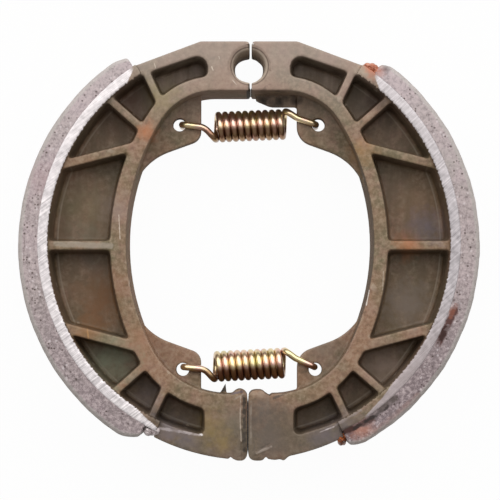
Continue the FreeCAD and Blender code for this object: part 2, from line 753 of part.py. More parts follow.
def run_down(profile, end, inward, drop):
    """The corner taken off one end: from the ground face down to the end face."""
    near = "(%s + %s)" % (end, inward)
    across = "(lining_radius * cos(%s) - (lining_radius - %s) * cos(%s))" % (near, drop, end)
    up = "(lining_radius * sin(%s) - (lining_radius - %s) * sin(%s))" % (near, drop, end)
    profile.polygon([
        ("lining_radius * cos(%s)" % near, "lining_radius * sin(%s)" % near, None),
        ("(lining_radius - %s) * cos(%s) - %s / 2" % (drop, end, across),
         "(lining_radius - %s) * sin(%s) - %s / 2" % (drop, end, up), None),
        ("(lining_radius + overrun) * cos(%s)" % end, "(lining_radius + overrun) * sin(%s)" % end, None),
    ])


def make_lining(label, side):
    """A bonded ring segment whose ends are run down and whose outer edges are ground off."""
    body = new_body(label)
    centre_y = "lining_centre_y_" + side
    start = "lining_start_" + side
    end = "(%s + lining_span)" % start
    bind(body, "Placement.Base.y", centre_y)
    profile = Profile(body, "lining_outline")
    inner_centre = ("lining_centre_x - table_centre_x", "table_centre_y - " + centre_y)
    inner = "(table_radius + bond_line)"
    draw_sector(profile, ("0", "0"), inner_centre, "lining_radius", inner, start, end)
    pad(body, "segment", profile, "shoe_width")
    ends = Profile(body, "end_outline")
    run_down(ends, start, "anchor_taper_" + side, "anchor_drop_" + side)
    run_down(ends, end, "-cam_taper_" + side, "cam_drop_" + side)
    cut_through(body, "run_down_ends", ends)
    corners = Profile(body, "corner_outline", "XZ_Plane")
    reach = "(lining_radius + overlap)"
    for sign in ("", "-"):
        corners.polygon([
            ("lining_radius - lining_chamfer - overlap", "%s(shoe_width / 2 + overlap)" % sign, None),
            (reach, "%s(shoe_width / 2 - lining_chamfer - overlap)" % sign, None),
            (reach, "%s(shoe_width / 2 + overlap)" % sign, None),
        ])
    groove = body.newObject("PartDesign::Groove", "ground_corners")
    groove.Profile = corners.sketch
    groove.ReferenceAxis = (corners.sketch, ["V_Axis"])
    groove.Angle = 360.0
    body.Tip = groove
    doc.recompute()
    return body


# Springs

def rounded_path(points, radii):
    """Straight runs through the points, joined at each inner point by a tangent arc."""
    edges = []
    start = points[0]
    for index, radius in enumerate(radii, 1):
        point = points[index]
        inward = (point - points[index - 1]).normalize()
        outward = (points[index + 1] - point).normalize()
        turn = inward.getAngle(outward)
        cut = radius * math.tan(turn / 2.0)
        first = point - inward * cut
        last = point + outward * cut
        bisector = (outward - inward).normalize()
        middle = point + bisector * (radius / math.cos(turn / 2.0) - radius)
        edges.append(Part.LineSegment(start, first).toShape())
        edges.append(Part.Arc(first, middle, last).toShape())
        start = last
    edges.append(Part.LineSegment(start, points[-1]).toShape())
    return edges


def hook_edges(end, side, frame):
    """The path of one hook, from the coil's end, over the ear's face and down through its eye.

    The frame turns the set's axes into the coil's. The path is drawn for the coil's
    right-hand end; the left-hand hook is the same path turned half round.
    """
    coil_radius = size("(coil_diameter - wire) / 2")
    pitch = size("coil_pitch")
    half_length = pitch * size("coil_turns") / 2.0
    lift = size("(web_thickness + wire) / 2 + hook_lift")
    climb = Vector(pitch, 0, 2.0 * math.pi * coil_radius).normalize()
    leave = Vector(half_length, coil_radius, 0)
    crest = leave + climb * (lift / climb.z)
    slope = math.radians(size("%s_hook_slope_%s" % (end, side)))
    bend = crest + Vector(math.cos(slope), -math.sin(slope), 0) * size("%s_hook_run_%s" % (end, side))

    outward = -1.0 if side == "left" else 1.0
    upward = -1.0 if end == "cam" else 1.0
    seat = math.radians(size(end + "_hook_seat"))
    offset = size("eye_radius - wire / 2 - hook_clearance")
    eye = Vector(outward * size(end + "_eye_x"), upward * size(end + "_eye_y"), 0)
    wire_in_eye = eye + Vector(-outward * math.cos(seat), math.sin(seat), 0) * offset
    local = frame.inverse().multVec(wire_in_eye) * outward
    over_eye = Vector(local.x, local.y, lift)
    tail = Vector(local.x, local.y, -size("web_thickness / 2 + hook_tail"))
    radii = [size("hook_turn"), size("hook_sweep"), size("hook_bend")]
    edges = rounded_path([leave, crest, bend, over_eye, tail], radii)
    if side == "left":
        for edge in edges:
            edge.rotate(Vector(0, 0, 0), Vector(0, 0, 1), 180.0)
    return edges


def make_spring(label, end):
    """A close-wound extension spring; its hooks pass through the eyes of both shoes.

    The wire's path is one helix with a hook at each end, and a circle is carried along it.
    """
    pitch = size("coil_pitch")
    length = pitch * size("coil_turns")
    place = Vector(size(end + "_spring_x"), size(end + "_spring_y"), 0)
    frame = Placement(place, Rotation(Vector(0, 0, 1), size(end + "_spring_tilt")))
    helix = Part.makeHelix(pitch, length, size("(coil_diameter - wire) / 2"))
    along_x = Rotation(Vector(0, -1, 0), Vector(0, 0, -1), Vector(1, 0, 0), "ZXY")
    helix.Placement = Placement(Vector(-length / 2.0, 0, 0), along_x)
    right = hook_edges(end, "right", frame)
    left = hook_edges(end, "left", frame)
    path = Part.Wire(Part.__sortEdges__(left + helix.Edges + right))
    start = min(right[-1].Vertexes, key=lambda vertex: vertex.Point.z).Point
    section = Part.Wire(Part.Circle(start, Vector(0, 0, 1), size("wire / 2")).toShape())
    spring = doc.addObject("Part::Feature", label)
    spring.Label = label
    spring.Shape = path.makePipeShell([section], True, True)
    spring.Placement = Placement(place + Vector(0, 0, size("shoe_width / 2")), frame.Rotation)
    print(label, "wire", round(path.Length, 1), "volume", round(spring.Shape.Volume, 1),
          "section times length", round(math.pi * size("wire / 2") ** 2 * path.Length, 1))
    return spring


casting_left = make_casting("shoe_casting_left", "left", add_fin)
casting_right = make_casting("shoe_casting_right", "right", add_skin)
turn_over(casting_right)
lining_left = make_lining("lining_left", "left")
bind(lining_left, "Placement.Base.x", "-lining_centre_x")
lining_right = make_lining("lining_right", "right")
turn_over(lining_right)
bind(lining_right, "Placement.Base.x", "lining_centre_x")
spring_anchor = make_spring("spring_anchor_side", "anchor")
spring_cam = make_spring("spring_cam_side", "cam")
doc.recompute()

for item in doc.Objects:
    if "Invalid" in item.State or "Error" in item.State:
        raise RuntimeError("%s did not build: %s" % (item.Label, item.State))
    if item.TypeId == "Sketcher::SketchObject" and not item.FullyConstrained:
        print("sketch with free sizes:", item.Label)

os.makedirs("parts", exist_ok=True)
for piece in (casting_left, casting_right, lining_left, lining_right, spring_anchor, spring_cam):
    if piece.Shape.isNull() or not piece.Shape.isValid():
        raise RuntimeError("%s has no valid shape" % piece.Label)
    piece.Shape.exportStep("parts/%s.step" % piece.Label)
    box = piece.Shape.BoundBox
    print("%-20s solids %d  volume %.0f  X %.2f..%.2f  Y %.2f..%.2f  Z %.2f..%.2f" % (
        piece.Label, len(piece.Shape.Solids), piece.Shape.Volume,
        box.XMin, box.XMax, box.YMin, box.YMax, box.ZMin, box.ZMax))
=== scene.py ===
# Drum brake shoe set lying flat on white paper, seen from above along the drum's axis.
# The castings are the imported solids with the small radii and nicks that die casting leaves,
# the linings are swept ring segments of the same size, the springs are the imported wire, and
# beads of squeezed-out glue sit at three of the linings' ends.
import math

import bpy
import numpy as np
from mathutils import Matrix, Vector


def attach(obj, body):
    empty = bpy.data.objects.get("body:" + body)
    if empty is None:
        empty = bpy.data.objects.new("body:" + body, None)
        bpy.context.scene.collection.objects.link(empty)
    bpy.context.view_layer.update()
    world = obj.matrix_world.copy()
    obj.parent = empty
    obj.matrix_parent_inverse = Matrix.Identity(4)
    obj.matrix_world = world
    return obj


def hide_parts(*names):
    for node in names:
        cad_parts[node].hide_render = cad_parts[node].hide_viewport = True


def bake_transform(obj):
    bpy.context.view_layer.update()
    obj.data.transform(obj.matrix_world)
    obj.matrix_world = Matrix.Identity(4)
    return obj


MM = 0.001

# Driving sizes of the set in millimetres, the same as the part's. Heights named FACE are counted
# from the mid-plane. X is given for the left shoe, and the right shoe has it the other way round.
WIDTH = 25.0
MID_HEIGHT = WIDTH / 2.0
CAST_FACE = 11.0
CAST_END = 50.0
TABLE_CENTRE = (-0.64, 2.0)
TABLE_RADIUS = 49.85
TABLE_THICKNESS = 2.6
FLOOR_EDGE_RADIUS = 45.55
WAIST_RADIUS = 55.0
WAIST_CENTRE = (25.67, 2.1)
OPENING_TOP = 38.2
OPENING_BOTTOM = -34.2
SEAT_HEIGHT = 44.05
LINING_RADIUS = 53.8
LINING_CENTRE = {"left": (-1.14, 1.0), "right": (-1.14, 1.26)}
LINING_ANGLES = {"left": (121.8, 241.2), "right": (125.1, 244.5)}
LINING_TAPER = {"left": (4.5, 5.3), "right": (3.0, 4.0)}
LINING_DROP = {"left": (1.0, 2.1), "right": (1.2, 1.2)}
LINING_CHAMFER = 0.8
GROUND_WAVE = {"left": 0.05, "right": 0.09}
BOND_LINE = 0.05
SIDE_SIGN = {"left": 1.0, "right": -1.0}

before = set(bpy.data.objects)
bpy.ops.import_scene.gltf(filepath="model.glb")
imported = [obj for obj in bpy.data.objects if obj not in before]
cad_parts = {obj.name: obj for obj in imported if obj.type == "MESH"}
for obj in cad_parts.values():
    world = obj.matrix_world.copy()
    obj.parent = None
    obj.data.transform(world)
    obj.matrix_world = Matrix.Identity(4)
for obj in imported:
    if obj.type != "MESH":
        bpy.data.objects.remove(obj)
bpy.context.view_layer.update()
scene = bpy.context.scene


# Shader helpers

def linear(colour):
    """An sRGB hex colour as linear red, green, blue and alpha."""
    channels = [int(colour[i:i + 2], 16) / 255.0 for i in (1, 3, 5)]
    return [c / 12.92 if c <= 0.04045 else ((c + 0.055) / 1.055) ** 2.4 for c in channels] + [1.0]


def add(tree, kind, output, inputs=(), **settings):
    """Adds a node with its settings and links, and gives one of its outputs if it has any.

    An input is a number, a hex colour, or the output that feeds it.
    """
    item = tree.nodes.new("ShaderNode" + kind)
    for name, value in settings.items():
        setattr(item, name, value)
    for name, value in dict(inputs).items():
        if isinstance(value, bpy.types.NodeSocket):
            tree.links.new(value, item.inputs[name])
        else:
            item.inputs[name].default_value = linear(value) if isinstance(value, str) else value
    return None if output is None else item.outputs[output]


def new_material(name):
    """An empty node material, with the piece's own coordinates in metres."""
    material = bpy.data.materials.new(name)
    material.use_nodes = True
    tree = material.node_tree
    tree.nodes.clear()
    return material, tree, add(tree, "TexCoord", "Object")


def per_mm(size):
    """The texture scale whose features are about this many millimetres across."""
    return 1.0 / (size * MM)


def ring_place(tree, place, side):
    """Distance from the table's centre, angle above the middle, and height from the mid-plane."""
    centre = (TABLE_CENTRE[0] * SIDE_SIGN[side] * MM, TABLE_CENTRE[1] * MM, MID_HEIGHT * MM)
    level = add(tree, "VectorMath", 0, {0: place, 1: centre}, operation="SUBTRACT")
    flat = add(tree, "VectorMath", 0, {0: level, 1: (1.0, 1.0, 0.0)}, operation="MULTIPLY")
    radius = add(tree, "VectorMath", "Value", {0: flat}, operation="LENGTH")
    across, along, up = add(tree, "SeparateXYZ", 0, {0: level}).node.outputs
    across = add(tree, "Math", 0, {0: across}, operation="ABSOLUTE")
    angle = add(tree, "Math", 0, {0: along, 1: across}, operation="ARCTAN2")
    height = add(tree, "Math", 0, {0: up}, operation="ABSOLUTE")
    return radius, angle, height


def stained_and_shaded(tree, place, colour, stain_and_shade_patches):
    """Ragged round patches over a colour, each (x, y, reach in mm, colour, strength).

    The distance from a patch's middle is made uneven by noise of 1.1 times its reach on average,
    and the strength falls from the middle to nothing at about 1.2 times the reach.
    """
    flat = add(tree, "VectorMath", 0, {0: place, 1: (1.0, 1.0, 0.0)}, operation="MULTIPLY")
    rough = add(tree, "TexNoise", 0, {
        "Vector": place, "Scale": per_mm(2.4), "Detail": 4.0, "Roughness": 0.65})
    for x, y, reach, shade, strength in stain_and_shade_patches:
        middle = (x * MM, y * MM, 0.0)
        reach = reach * MM
        away = add(tree, "VectorMath", "Value", {0: flat, 1: middle}, operation="DISTANCE")
        ragged = add(tree, "Math", 0, {0: rough, 1: 2.2 * reach, 2: away}, operation="MULTIPLY_ADD")
        share = add(tree, "MapRange", 0, {
            0: ragged, 1: 2.3 * reach, 2: 1.1 * reach, 3: 0.0, 4: strength})
        colour = add(tree, "Mix", 2, {0: share, 6: colour, 7: shade}, data_type="RGBA")
    return colour


def streaked(tree, place, colour, streaks, front):
    """Wavy broken lines on what lies above the height front in mm.

    Each is (x and y of both ends, half width in mm, colour, strength).
    """
    flat = add(tree, "VectorMath", 0, {0: place, 1: (1.0, 1.0, 0.0)}, operation="MULTIPLY")
    wave = add(tree, "TexNoise", 0, {
        "Vector": place, "Scale": per_mm(1.2), "Detail": 4.0, "Roughness": 0.75})
    whole = add(tree, "TexNoise", 0, {"Vector": place, "Scale": per_mm(1.8), "Detail": 2.0})
    whole = add(tree, "MapRange", 0, {0: whole, 1: 0.4, 2: 0.5, 3: 0.45, 4: 1.0})
    height = add(tree, "SeparateXYZ", "Z", {0: place})
    above = add(tree, "MapRange", 0, {0: height, 1: (front - 0.3) * MM, 2: front * MM})
    whole = add(tree, "Math", 0, {0: whole, 1: above}, operation="MULTIPLY")
    for x0, y0, x1, y1, half, shade, strength in streaks:
        start = (x0 * MM, y0 * MM, 0.0)
        run = ((x1 - x0) * MM, (y1 - y0) * MM, 0.0)
        length = math.hypot(run[0], run[1])
        course = (run[0] / length ** 2, run[1] / length ** 2, 0.0)
        from_start = add(tree, "VectorMath", 0, {0: flat, 1: start}, operation="SUBTRACT")
        share = add(tree, "VectorMath", "Value", {0: from_start, 1: course}, operation="DOT_PRODUCT")
        share = add(tree, "MapRange", 0, {0: share})
        reached = add(tree, "VectorMath", 0, {0: run, "Scale": share}, operation="SCALE")
        away = add(tree, "VectorMath", "Value", {0: from_start, 1: reached}, operation="DISTANCE")
        lump = min(half, 0.35) * MM
        away = add(tree, "Math", 0, {0: wave, 1: 3.0 * lump, 2: away}, operation="MULTIPLY_ADD")
        edge = 1.1 * half * MM + 1.5 * lump
        share = add(tree, "MapRange", 0, {
            0: away, 1: edge, 2: edge - 0.5 * half * MM, 3: 0.0, 4: strength})
        share = add(tree, "Math", 0, {0: share, 1: whole}, operation="MULTIPLY")
        colour = add(tree, "Mix", 2, {0: share, 6: colour, 7: shade}, data_type="RGBA")
    return colour


# Materials

# Stains and painted shade that only one place has: x and y in mm, reach in mm, colour, strength.
CAST_STAINS_AND_SHADE = {
    "left": [
        (-24.7, 28.6, 2.6, "#a86a44", 0.75),
        (-26.0, -20.5, 4.5, "#946a4c", 0.5),
        (-24.5, -26.0, 4.0, "#8e6a52", 0.45),
        (-38.5, -19.3, 4.5, "#946a42", 0.6),
        (-35.6, -10.5, 6.5, "#74502f", 0.9),
        (-36.5, -16.0, 4.5, "#7a5230", 0.6),
        (-32.8, 30.3, 3.6, "#6e4c34", 0.5),
        (-28.0, 36.8, 4.5, "#5a3a24", 0.85),
        (-38.0, 11.0, 7.0, "#76684a", 0.6),
        # Painted shade on the floors beside the rib: this patch and the one at (-38.0, -2.0).
        (-40.0, 4.0, 4.0, "#6a6654", 0.5),
        (-33.0, -26.5, 6.5, "#80846c", 0.85),
        (-24.5, -34.5, 4.5, "#786a68", 0.7),
        (-21.8, -40.2, 2.4, "#1c140a", 0.7),
        (-31.5, 10.0, 5.0, "#8c7870", 0.55),
        (-21.0, 37.5, 5.0, "#877c52", 0.5),
        (-19.0, -42.3, 3.5, "#6b6264", 0.8),
        (-14.5, -44.8, 3.5, "#665d5f", 0.75),
        (-3.8, -40.5, 3.5, "#6a6054", 0.6),
        (-9.0, -42.0, 5.0, "#86703e", 0.5),
        (-6.0, -45.5, 3.0, "#8a7440", 0.4),
        # Painted shade on the floor beside the rib.
        (-38.0, -2.0, 3.5, "#62564a", 0.5),
        (-5.8, -32.2, 2.0, "#15140c", 1.0),
        (-6.3, -33.4, 1.0, "#15140c", 0.9),
    ],
    "right": [
        (38.3, 1.4, 3.8, "#a4683f", 0.7),
        (27.3, 24.0, 4.0, "#a0764a", 0.5),
        (31.5, 35.5, 4.5, "#3c2416", 0.7),
        (40.5, 12.0, 6.0, "#7a5e42", 0.5),
        (43.0, 6.0, 5.0, "#6c6472", 0.55),
        (38.0, -12.0, 6.0, "#74685a", 0.6),
        (32.5, -27.5, 6.0, "#8c786a", 0.8),
        (38.5, -13.0, 6.0, "#76685e", 0.6),
        (22.5, -42.0, 4.5, "#6b5f5e", 0.8),
        (17.5, -44.5, 4.5, "#625859", 0.75),
        (3.2, -39.5, 5.5, "#564d46", 0.9),
        (5.5, -44.5, 4.0, "#5c534b", 0.7),
        (17.5, -23.5, 6.0, "#6c5f52", 0.6),
        (9.0, -42.0, 5.0, "#5a4c3c", 0.6),
        (4.0, -44.0, 4.0, "#5e5248", 0.5),
        # Painted shadow of the anchor bar on the thin skin below it: this patch and the three small
        # dark ones at y 36.4 to 36.6.
        (5.5, 35.4, 3.2, "#3b2d1f", 0.85),
        (12.0, 35.0, 2.4, "#8a7663", 0.6),
        (3.5, 36.6, 1.8, "#20140a", 0.9),
        (7.5, 36.6, 1.8, "#20140a", 0.9),
        (11.5, 36.4, 1.6, "#20140a", 0.8),
        (27.5, 42.6, 2.0, "#b5a692", 0.7),
        (29.4, 43.4, 2.4, "#c0603c", 0.9),
    ],
}
LINING_STAINS = {
    "left": [
        (-24.4, -43.6, 0.7, "#2e2220", 0.9),
        (-48.5, 17.0, 5.0, "#a98f92", 0.5),
    ],
    "right": [
        (48.2, -14.6, 1.4, "#a5705f", 0.7),
        (31.0, 42.6, 1.5, "#b06a50", 0.7),
        (32.6, 43.2, 1.0, "#6a5c5c", 0.7),
        (24.0, -42.9, 1.6, "#5a2c20", 0.95),
        (26.8, -42.4, 3.0, "#a8735f", 0.75),
        (45.0, 20.0, 6.0, "#9c9c92", 0.4),
    ],
}

# Lines that only one place has, some of them painted highlights and shade: both ends' x and y
# in mm, half width in mm, colour, strength.
CAST_STREAKS = {
    "left": [
        # Painted highlight along the wavy edge of the left cam pad's lower strip, in two lines.
        (-1.95, -34.7, -2.1, -40.1, 0.16, "#a89a8c", 0.75),
        (-2.1, -40.1, -1.85, -45.3, 0.16, "#a89a8c", 0.75),
        (-1.1, -34.8, -1.1, -47.6, 0.55, "#342c24", 0.9),
        (-4.2, -34.1, -1.6, -33.6, 0.3, "#5a505a", 0.7),
        # Painted shade down the gap by the anchor seat, above and below it.
        (0.0, 49.0, 0.0, 45.6, 0.3, "#3f352c", 0.8),
        (0.0, 39.6, 0.0, 36.0, 0.25, "#332a20", 0.8),
        (-3.9, 40.6, -3.0, 39.6, 0.12, "#d8cabc", 0.8),
        (-8.9, 43.8, -8.6, 43.0, 0.12, "#cdbfae", 0.8),
        (-7.2, 46.3, -7.0, 45.7, 0.1, "#cdbfae", 0.7),
        (-22.6, 44.6, -22.3, 43.6, 0.14, "#d0c2b0", 0.7),
        (-46.0, 1.6, -33.0, 1.0, 0.8, "#a2978a", 0.5),
        (-31.0, 8.4, -30.7, 2.7, 0.12, "#cbbcae", 0.7),
        (-28.7, -0.9, -28.5, -8.7, 0.1, "#c4b5a6", 0.6),
        (-38.6, -17.0, -38.2, -21.0, 0.2, "#b08352", 0.6),
        (-21.2, -42.3, -11.6, -43.9, 0.35, "#b3a8a8", 0.6),
        (-11.6, -43.6, -11.2, -43.9, 0.3, "#e2dcda", 0.8),
        (-3.4, -35.4, -1.4, -34.2, 0.2, "#968a7e", 0.6),
    ],
    "right": [
        (0.45, -36.0, 0.45, -46.0, 0.25, "#8d8175", 0.7),
        (1.9, -48.2, 5.2, -46.6, 0.3, "#8f8278", 0.8),
        (22.0, -42.8, 28.6, -40.6, 0.7, "#4c403c", 0.75),
        (1.7, -47.5, 4.8, -45.9, 0.25, "#4c4238", 0.7),
        (1.05, -43.7, 1.4, -48.5, 0.2, "#584d43", 0.7),
        (5.8, -35.2, 8.8, -34.0, 0.3, "#463e38", 0.7),
        (0.7, 49.6, 1.0, 49.2, 0.2, "#e6e2de", 0.8),
        (28.6, -9.5, 27.9, -13.0, 0.14, "#e0d8d0", 0.8),
        # Painted highlights along the right rim's edges, in two lines.
        (29.0, 10.0, 29.4, 3.0, 0.1, "#b7a999", 0.6),
        (32.0, -5.0, 31.8, -9.5, 0.1, "#b7a999", 0.6),
        (16.9, -43.2, 20.2, -41.9, 0.16, "#c9bdbd", 0.7),
        (20.5, -41.6, 26.5, -38.0, 0.3, "#8e8280", 0.5),
        (38.0, 31.0, 34.0, 35.0, 0.25, "#4a3a30", 0.5),
    ],
}
LINING_STREAKS = {
    "left": [
        (-24.9, -42.4, -24.2, -43.6, 0.4, "#2e2220", 0.9),
        (-53.2, 4.0, -53.6, -3.0, 0.1, "#6c605c", 0.5),
    ],
    "right": [
        (44.9, -22.2, 48.9, -14.2, 0.95, "#4c2a24", 0.95),
        (27.2, -41.2, 34.5, -35.2, 0.9, "#4e4440", 0.85),
        (22.4, -43.0, 28.8, -40.2, 0.8, "#4c3430", 0.9),
        (22.4, -43.2, 24.4, -42.3, 0.8, "#3c201a", 0.95),
        (47.8, -15.8, 49.2, -13.0, 0.6, "#84503f", 0.7),
        (45.6, -21.0, 46.8, -18.4, 0.8, "#2c1410", 0.8),
        (30.0, -43.0, 40.0, -34.5, 0.8, "#8a6f68", 0.5),
        (25.0, -42.2, 26.4, -41.4, 0.5, "#2a1a16", 0.95),
        (27.6, -40.7, 29.4, -39.5, 0.45, "#241c1a", 0.9),
        (30.2, -39.3, 30.9, -38.4, 0.4, "#2c2422", 0.9),
        (32.2, -37.9, 33.0, -37.0, 0.3, "#352c2a", 0.85),
    ],
}

# The milled face of the table: how far it is bright, from the anchor end to the cam end in
# degrees about the table's centre, and from where the cutter began to miss its inner edge. Then
# its darkest and its brightest tone, which the marks vary between, how steeply the marks rise to
# the right in degrees, and how much darker the face and the lining are made towards the cam end.
BRIGHT_FACE = {"left": (57.0, -67.0, -56.0), "right": (53.7, -57.5, -44.0)}
MILLED_TONES = {"left": ("#827b7d", "#fff8f9"), "right": ("#6a6466", "#d6cfd2")}
MARKS_RISE = {"left": 36.0, "right": 42.0}
MILLED_CAM_END_DARKENING = {"left": 0.0, "right": 0.6}
LINING_CAM_END_DARKENING = {"left": 0.65, "right": 1.0}


def cast_skin(tree, place):
    """The chromated casting skin: olive to brown in patches of some 15 mm, pinker where rubbed."""
    broad = add(tree, "TexNoise", 0, {
        "Vector": place, "Scale": per_mm(15.0), "Detail": 3.0, "Roughness": 0.6})
    share = add(tree, "MapRange", 0, {0: broad, 1: 0.38, 2: 0.62})
    colour = add(tree, "Mix", 2, {0: share, 6: "#675b42", 7: "#86664f"}, data_type="RGBA")
    rubbed = add(tree, "TexNoise", 0, {
        "Vector": place, "Scale": per_mm(6.0), "Detail": 4.0, "Roughness": 0.6})
    share = add(tree, "MapRange", 0, {0: rubbed, 1: 0.48, 2: 0.64, 3: 0.0, 4: 0.7})
    colour = add(tree, "Mix", 2, {0: share, 6: colour, 7: "#8a6a5a"}, data_type="RGBA")
    fine = add(tree, "TexNoise", 0, {
        "Vector": place, "Scale": per_mm(1.3), "Detail": 4.0, "Roughness": 0.7})
    pits = add(tree, "MapRange", 0, {0: fine, 1: 0.46, 2: 0.3, 3: 0.0, 4: 0.5})
    colour = add(tree, "Mix", 2, {0: pits, 6: colour, 7: "#4c4030"}, data_type="RGBA")
    share = add(tree, "MapRange", 0, {0: fine, 1: 0.45, 2: 0.72, 3: 0.0, 4: 0.65})
    return add(tree, "Mix", 2, {0: share, 6: colour, 7: "#a48f79"}, data_type="RGBA")


def die_cast_aluminium(side):
    """Die-cast aluminium, dull and brownish from its chromate dip, its table's face milled bright."""
    material, tree, place = new_material("die_cast_aluminium_" + side)
    radius, angle, height = ring_place(tree, place, side)
    colour = cast_skin(tree, place)

    # Painted light: the skin is painted paler towards the anchor end and darker towards the cam end,
    # where the lamp's light falls off.
    along = add(tree, "SeparateXYZ", "Y", {0: place})
    ends = ((28.0, 46.0, "#a99b93", 0.5), (-34.0, -44.0, "#48443e", 0.55))
    for low, high, shade, strength in ends:
        share = add(tree, "MapRange", 0, {0: along, 1: low * MM, 2: high * MM, 3: 0.0, 4: strength})
        colour = add(tree, "Mix", 2, {0: share, 6: colour, 7: shade}, data_type="RGBA")

    # What lies below the faces, but for the opening and the seat, gets painted shade, streaked
    # softly where the dip ran off, with a painted highlight along the floors' outer edge, and the
    # drafted walls get the darkest painted shade.
    painted_shade_mask = add(tree, "Attribute", "Fac", attribute_name="painted_shade_mask")
    sunk = add(tree, "MapRange", 0, {
        0: height, 1: (CAST_FACE - 0.4) * MM, 2: (CAST_FACE - 1.4) * MM})
    sunk = add(tree, "Math", 0, {0: sunk, 1: painted_shade_mask}, operation="MULTIPLY", use_clamp=True)
    run_off = add(tree, "Mapping", 0, {"Vector": place, "Scale": (1.0, 0.2, 1.0)})
    run_off = add(tree, "TexNoise", 0, {"Vector": run_off, "Scale": per_mm(2.2), "Detail": 3.0})
    run_off = add(tree, "MapRange", 0, {0: run_off, 1: 0.35, 2: 0.65, 3: 0.2, 4: 0.8})
    painted_floor_shade = add(tree, "Mix", 2, {0: run_off, 6: colour, 7: "#62503a"}, data_type="RGBA")
    # Painted highlight: a pale line along the floors' outer edge, where they meet the wall.
    painted_glint_line = add(tree, "Math", 0, {0: radius, 1: FLOOR_EDGE_RADIUS * MM}, operation="SUBTRACT")
    painted_glint_line = add(tree, "Math", 0, {0: painted_glint_line}, operation="ABSOLUTE")
    painted_glint_line = add(tree, "MapRange", 0, {0: painted_glint_line, 1: 0.25 * MM, 2: 0.08 * MM, 3: 0.0, 4: 0.5})
    painted_floor_shade = add(tree, "Mix", 2, {0: painted_glint_line, 6: painted_floor_shade, 7: "#9c8e7c"}, data_type="RGBA")
    colour = add(tree, "Mix", 2, {0: sunk, 6: colour, 7: painted_floor_shade}, data_type="RGBA")
    colour = stained_and_shaded(tree, place, colour, CAST_STAINS_AND_SHADE[side])
    normal = add(tree, "TexCoord", "Normal")
    upright = add(tree, "SeparateXYZ", "Z", {0: normal})
    upright = add(tree, "Math", 0, {0: upright}, operation="ABSOLUTE")
    steep = add(tree, "MapRange", 0, {0: upright, 1: 0.75, 2: 0.25})
    # Painted shade, darkest on the drafted walls.
    painted_wall_shade = add(tree, "Math", 0, {0: steep, 1: painted_shade_mask}, operation="MULTIPLY")
    painted_wall_shade = add(tree, "Math", 0, {0: painted_wall_shade, 1: 0.38}, operation="MULTIPLY")
    colour = add(tree, "Mix", 2, {0: painted_wall_shade, 6: colour, 7: "#33271a"}, data_type="RGBA")
    # Painted shade on the faces of the two narrow gaps.
    painted_gap_shade = add(tree, "Attribute", "Fac", attribute_name="painted_gap_shade")
    colour = add(tree, "Mix", 2, {0: painted_gap_shade, 6: colour, 7: "#2a231b"}, data_type="RGBA")

    # Raised edges are rubbed to pale metal here and there, and hollows get painted shade.
    edge = add(tree, "NewGeometry", "Pointiness")
    chafe = add(tree, "TexNoise", 0, {
        "Vector": place, "Scale": per_mm(2.0), "Detail": 5.0, "Roughness": 0.7})
    rubbed = add(tree, "MapRange", 0, {0: edge, 1: 0.52, 2: 0.57, 3: 0.0, 4: 0.5})
    rubbed = add(tree, "Math", 0, {0: rubbed, 1: chafe}, operation="MULTIPLY")
    colour = add(tree, "Mix", 2, {0: rubbed, 6: colour, 7: "#b3a494"}, data_type="RGBA")
    painted_crease_shade = add(tree, "MapRange", 0, {0: edge, 1: 0.485, 2: 0.44, 3: 0.0, 4: 0.4})
    colour = add(tree, "Mix", 2, {0: painted_crease_shade, 6: colour, 7: "#2b2118"}, data_type="RGBA")
    colour = streaked(tree, place, colour, CAST_STREAKS[side], MID_HEIGHT + CAST_FACE - 0.6)

    # The anchor seat's walls get painted light against the shade that falls in them, and a dark
    # line runs round its mouth.
    flat = add(tree, "VectorMath", 0, {0: place, 1: (1.0, 1.0, 0.0)}, operation="MULTIPLY")
    seat = (0.15 * MM, SEAT_HEIGHT * MM, 0.0)
    away = add(tree, "VectorMath", "Value", {0: flat, 1: seat}, operation="DISTANCE")
    worn = add(tree, "MapRange", 0, {0: away, 1: 4.4 * MM, 2: 4.2 * MM, 3: 0.0, 4: 0.7})
    colour = add(tree, "Mix", 2, {0: worn, 6: colour, 7: "#b8aa9a"}, data_type="RGBA")
    away = add(tree, "Math", 0, {0: away, 1: 4.5 * MM}, operation="SUBTRACT")
    away = add(tree, "Math", 0, {0: away}, operation="ABSOLUTE")
    mouth = add(tree, "MapRange", 0, {0: away, 1: 0.2 * MM, 2: 0.08 * MM})
    mouth = add(tree, "Math", 0, {0: mouth, 1: chafe}, operation="MULTIPLY")
    colour = add(tree, "Mix", 2, {0: mouth, 6: colour, 7: "#33261e"}, data_type="RGBA")

